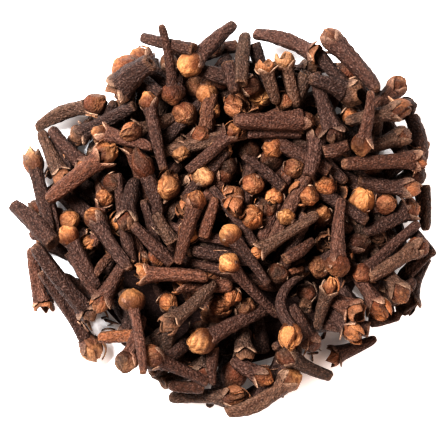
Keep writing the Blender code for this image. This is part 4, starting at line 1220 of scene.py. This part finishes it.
def core_surface():
    """Dark bumpy middle of the heap, painted shade for the cloves deep inside, from its top to its flat
    underside.
    """
    rings, sides = CORE_GRID
    share = (np.arange(rings) / (rings - 1))[:, None]
    angle = angles(sides)
    x = CORE_RADIUS * share * np.cos(angle)
    y = CORE_RADIUS * share * np.sin(angle)
    bumps = 0.5 * np.sin(1.9 * x + 1.3 * y) + 0.5 * np.sin(1.7 * y - 1.1 * x + 1.0)
    bumps = bumps + 0.3 * np.sin(3.1 * x) * np.sin(2.7 * y)
    height = np.maximum(core_height(x, y) * (1.0 + 0.06 * bumps) - 0.3, 0.05)
    top = np.stack([x - MIDDLE_X, y - MIDDLE_Y, height], axis=-1).reshape(-1, 3)
    base = top[-sides:].copy()
    base[:, 2] = FLOOR_GAP
    middle = np.array([[-MIDDLE_X, -MIDDLE_Y, FLOOR_GAP]]).repeat(sides, axis=0)
    points = np.concatenate([top, base, middle])
    # Painted shade: the whole core takes one near-black colour
    tone = np.tile(CORE_SHADE_COLOUR, (len(points), 1))
    surface = Surface()
    surface.add(points * MM, tone, points, grid_faces(rings + 2, sides), CORE_GRAIN)
    return surface


def make_piece(name, surface, material):
    """Make one mesh object of all the shapes in a piece, and tie it to the frame."""
    vertices = np.concatenate(surface.vertices).astype(np.float32)
    faces = np.concatenate(surface.faces).astype(np.int32)
    mesh = bpy.data.meshes.new(name)
    mesh.vertices.add(len(vertices))
    mesh.vertices.foreach_set("co", vertices.ravel())
    mesh.loops.add(faces.size)
    mesh.loops.foreach_set("vertex_index", faces.ravel())
    mesh.polygons.add(len(faces))
    mesh.polygons.foreach_set("loop_start", np.arange(0, faces.size, 4, dtype=np.int32))
    mesh.update(calc_edges=True)
    mesh.validate()
    mesh.polygons.foreach_set("use_smooth", np.ones(len(mesh.polygons), dtype=bool))
    tone = mesh.attributes.new("tone", "FLOAT_COLOR", "POINT")
    tone.data.foreach_set("color", np.concatenate(surface.colours).astype(np.float32).ravel())
    own = mesh.attributes.new("own", "FLOAT_VECTOR", "POINT")
    own.data.foreach_set("vector", np.concatenate(surface.own).astype(np.float32).ravel())
    mesh.materials.append(material)
    piece = bpy.data.objects.new(name, mesh)
    bpy.context.scene.collection.objects.link(piece)
    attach(piece, "root")
    return piece


class Material:
    """A node material, with a short way to add nodes to it."""

    def __init__(self, name):
        self.material = bpy.data.materials.new(name)
        self.material.use_nodes = True
        self.tree = self.material.node_tree
        self.shader = self.tree.nodes["Principled BSDF"]

    def fill(self, node, inputs):
        """Fill a node's inputs, each with a value or from another node's output."""
        for socket, value in inputs.items():
            if isinstance(value, bpy.types.NodeSocket):
                self.tree.links.new(value, node.inputs[socket])
            else:
                node.inputs[socket].default_value = value

    def add(self, kind, output, inputs, **settings):
        """Add a node and give one of its outputs."""
        node = self.tree.nodes.new("ShaderNode" + kind)
        for setting, value in settings.items():
            setattr(node, setting, value)
        self.fill(node, inputs)
        return node.outputs[output]

    def calculate(self, operation, *values):
        """Add a sum, a product or the like of values and outputs."""
        return self.add("Math", "Value", dict(enumerate(values)), operation=operation)

    def spread(self, value, low, high, to_low, to_high, how="LINEAR"):
        """Add a node that takes one range of a value to another."""
        inputs = {"Value": value, "From Min": low, "From Max": high, "To Min": to_low, "To Max": to_high}
        return self.add("MapRange", "Result", inputs, interpolation_type=how)


def clove_material(name, roughness, bump):
    """Dry clove: the colour that each vertex carries, broken up by fine grain, with wrinkles and pits."""
    look = Material(name)
    tone = look.add("Attribute", "Color", {}, attribute_name="tone")
    grain_share = tone.node.outputs["Alpha"]
    own = look.add("Attribute", "Vector", {}, attribute_name="own")
    place = look.add("Mapping", "Vector", {"Vector": own, "Scale": GRAIN_STRETCH})
    inputs = {"Vector": place, "Scale": GRAIN_SCALE, "Detail": 5.0, "Roughness": 0.65}
    grain = look.add("TexNoise", "Fac", inputs)
    specks = look.add("TexNoise", "Fac", {"Vector": place, "Scale": SPECK_SCALE, "Detail": 2.0})
    pits = look.add("TexVoronoi", "Distance", {"Vector": place, "Scale": PIT_SCALE, "Randomness": 1.0})
    both = look.calculate("ADD", grain, specks)
    mottling = look.spread(both, *MOTTLING)
    inputs = {"Factor": grain_share, 6: tone, 7: mottling}
    colour = look.add("Mix", 2, inputs, data_type="RGBA", blend_type="MULTIPLY", clamp_result=False)
    dusty = look.calculate("MULTIPLY", look.spread(specks, *DUST), grain_share)
    inputs = {"Factor": dusty, 6: colour, 7: (*SPECK_COLOUR, 1.0)}
    speckled = look.add("Mix", 2, inputs, data_type="RGBA")
    height = look.calculate("ADD", both, pits)
    strength = look.calculate("MULTIPLY_ADD", grain_share, *(share * bump for share in BUMP_SHARES))
    relief = look.add("Bump", "Normal", {"Strength": strength, "Distance": BUMP_DEPTH, "Height": height})
    look.fill(look.shader, {"Base Color": speckled, "Normal": relief, "Roughness": roughness})
    look.fill(look.shader, {"Specular IOR Level": SPECULAR})
    return look.material


def heap_pieces():
    """Lay the heap and make a piece of each kind of clove, and of the core."""
    heap, cloves = lay_heap()
    seen = np.bincount(heap.owner[heap.owner >= 0], minlength=len(cloves))
    surfaces = {}
    for number, clove in enumerate(cloves):
        name = PIECES[clove.kind.split()[1]]
        if name == "cloves_with_round_buds" and clove.tip_z > UPPER_BUDS:
            name = "upper_cloves_with_round_buds"
        surface = surfaces.setdefault(name, Surface())
        add_clove(surface, clove, number, FINE if seen[number] >= SHOWN_CELLS else COARSE)
    surfaces["cloves_under_the_edge"] = Surface()
    for number, clove in enumerate(flank_cloves(heap), start=len(cloves)):
        add_clove(surfaces["cloves_under_the_edge"], clove, number, COARSE)
    surfaces["loose_sepals"] = Surface()
    add_scraps(surfaces["loose_sepals"], heap)
    dry = clove_material("dry clove", CLOVE_ROUGHNESS, CLOVE_BUMP)
    for name, surface in surfaces.items():
        make_piece(name, surface, dry)
    # Material of the core, whose near-black vertex colour is painted shade
    dark = clove_material("core of painted shade between the cloves", CORE_ROUGHNESS, CORE_BUMP)
    core = make_piece("clove_core", core_surface(), dark)
    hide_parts("clove_heap")


def floor():
    """Plain white surface that glows, faintly under the heap and most away from it: painted light that
    washes out the heap's shadow on the floor.
    """
    bpy.ops.mesh.primitive_plane_add(size=FLOOR_SIZE, location=(0.0, 0.0, 0.0))
    plane = bpy.context.object
    plane.name = "floor"
    look = Material("white floor")
    place = look.add("TexCoord", "Object", {})
    away = look.add("VectorMath", "Value", {0: place}, operation="LENGTH")
    glow = look.spread(away, *GLOW, "SMOOTHSTEP")
    look.fill(look.shader, {"Base Color": FLOOR_COLOUR, "Roughness": FLOOR_ROUGHNESS})
    # Painted light: the floor's glow, strongest away from the heap
    look.fill(look.shader, {"Emission Color": GLOW_COLOUR, "Emission Strength": glow})
    plane.data.materials.append(look.material)


def lights():
    """Soft window light from the upper left, light from a far wall, and warm light all round."""
    for name, place, size, power, colour in AREA_LIGHTS:
        data = bpy.data.lights.new(name, "AREA")
        data.shape = "SQUARE"
        data.size = size
        data.energy = power
        data.color = colour
        light = bpy.data.objects.new(name, data)
        light.location = place
        light.rotation_euler = (Vector(LIGHTS_AIM) - Vector(place)).to_track_quat("-Z", "Y").to_euler()
        bpy.context.scene.collection.objects.link(light)
    world = bpy.data.worlds.new("pale room")
    bpy.context.scene.world = world
    world.use_nodes = True
    background = world.node_tree.nodes["Background"]
    background.inputs["Color"].default_value = ROOM_COLOUR
    background.inputs["Strength"].default_value = ROOM_STRENGTH


def camera():
    """Camera straight above the heap, as in the photograph."""
    data = bpy.data.cameras.new("camera")
    data.sensor_width = SENSOR
    data.lens = SENSOR * (CAMERA_HEIGHT - FOCUS_HEIGHT) / (PICTURE_SIDE * PIXEL)
    data.clip_start = 0.01
    data.clip_end = 10.0
    camera_object = bpy.data.objects.new("camera", data)
    middle = PICTURE_SIDE / 2
    x = (middle - HEAP_IN_PICTURE[0]) * PIXEL - MIDDLE_X
    y = (HEAP_IN_PICTURE[1] - middle) * PIXEL - MIDDLE_Y
    camera_object.location = (x * MM, y * MM, CAMERA_HEIGHT * MM)
    bpy.context.scene.collection.objects.link(camera_object)
    bpy.context.scene.camera = camera_object


def main():
    """Load the frame, dress it, light it, and set the camera and the view."""
    for thing in list(bpy.data.objects):
        bpy.data.objects.remove(thing, do_unlink=True)
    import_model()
    heap_pieces()
    floor()
    lights()
    camera()
    view = bpy.context.scene.view_settings
    view.view_transform = "Standard"
    view.look = "None"
    view.gamma = GAMMA


main()
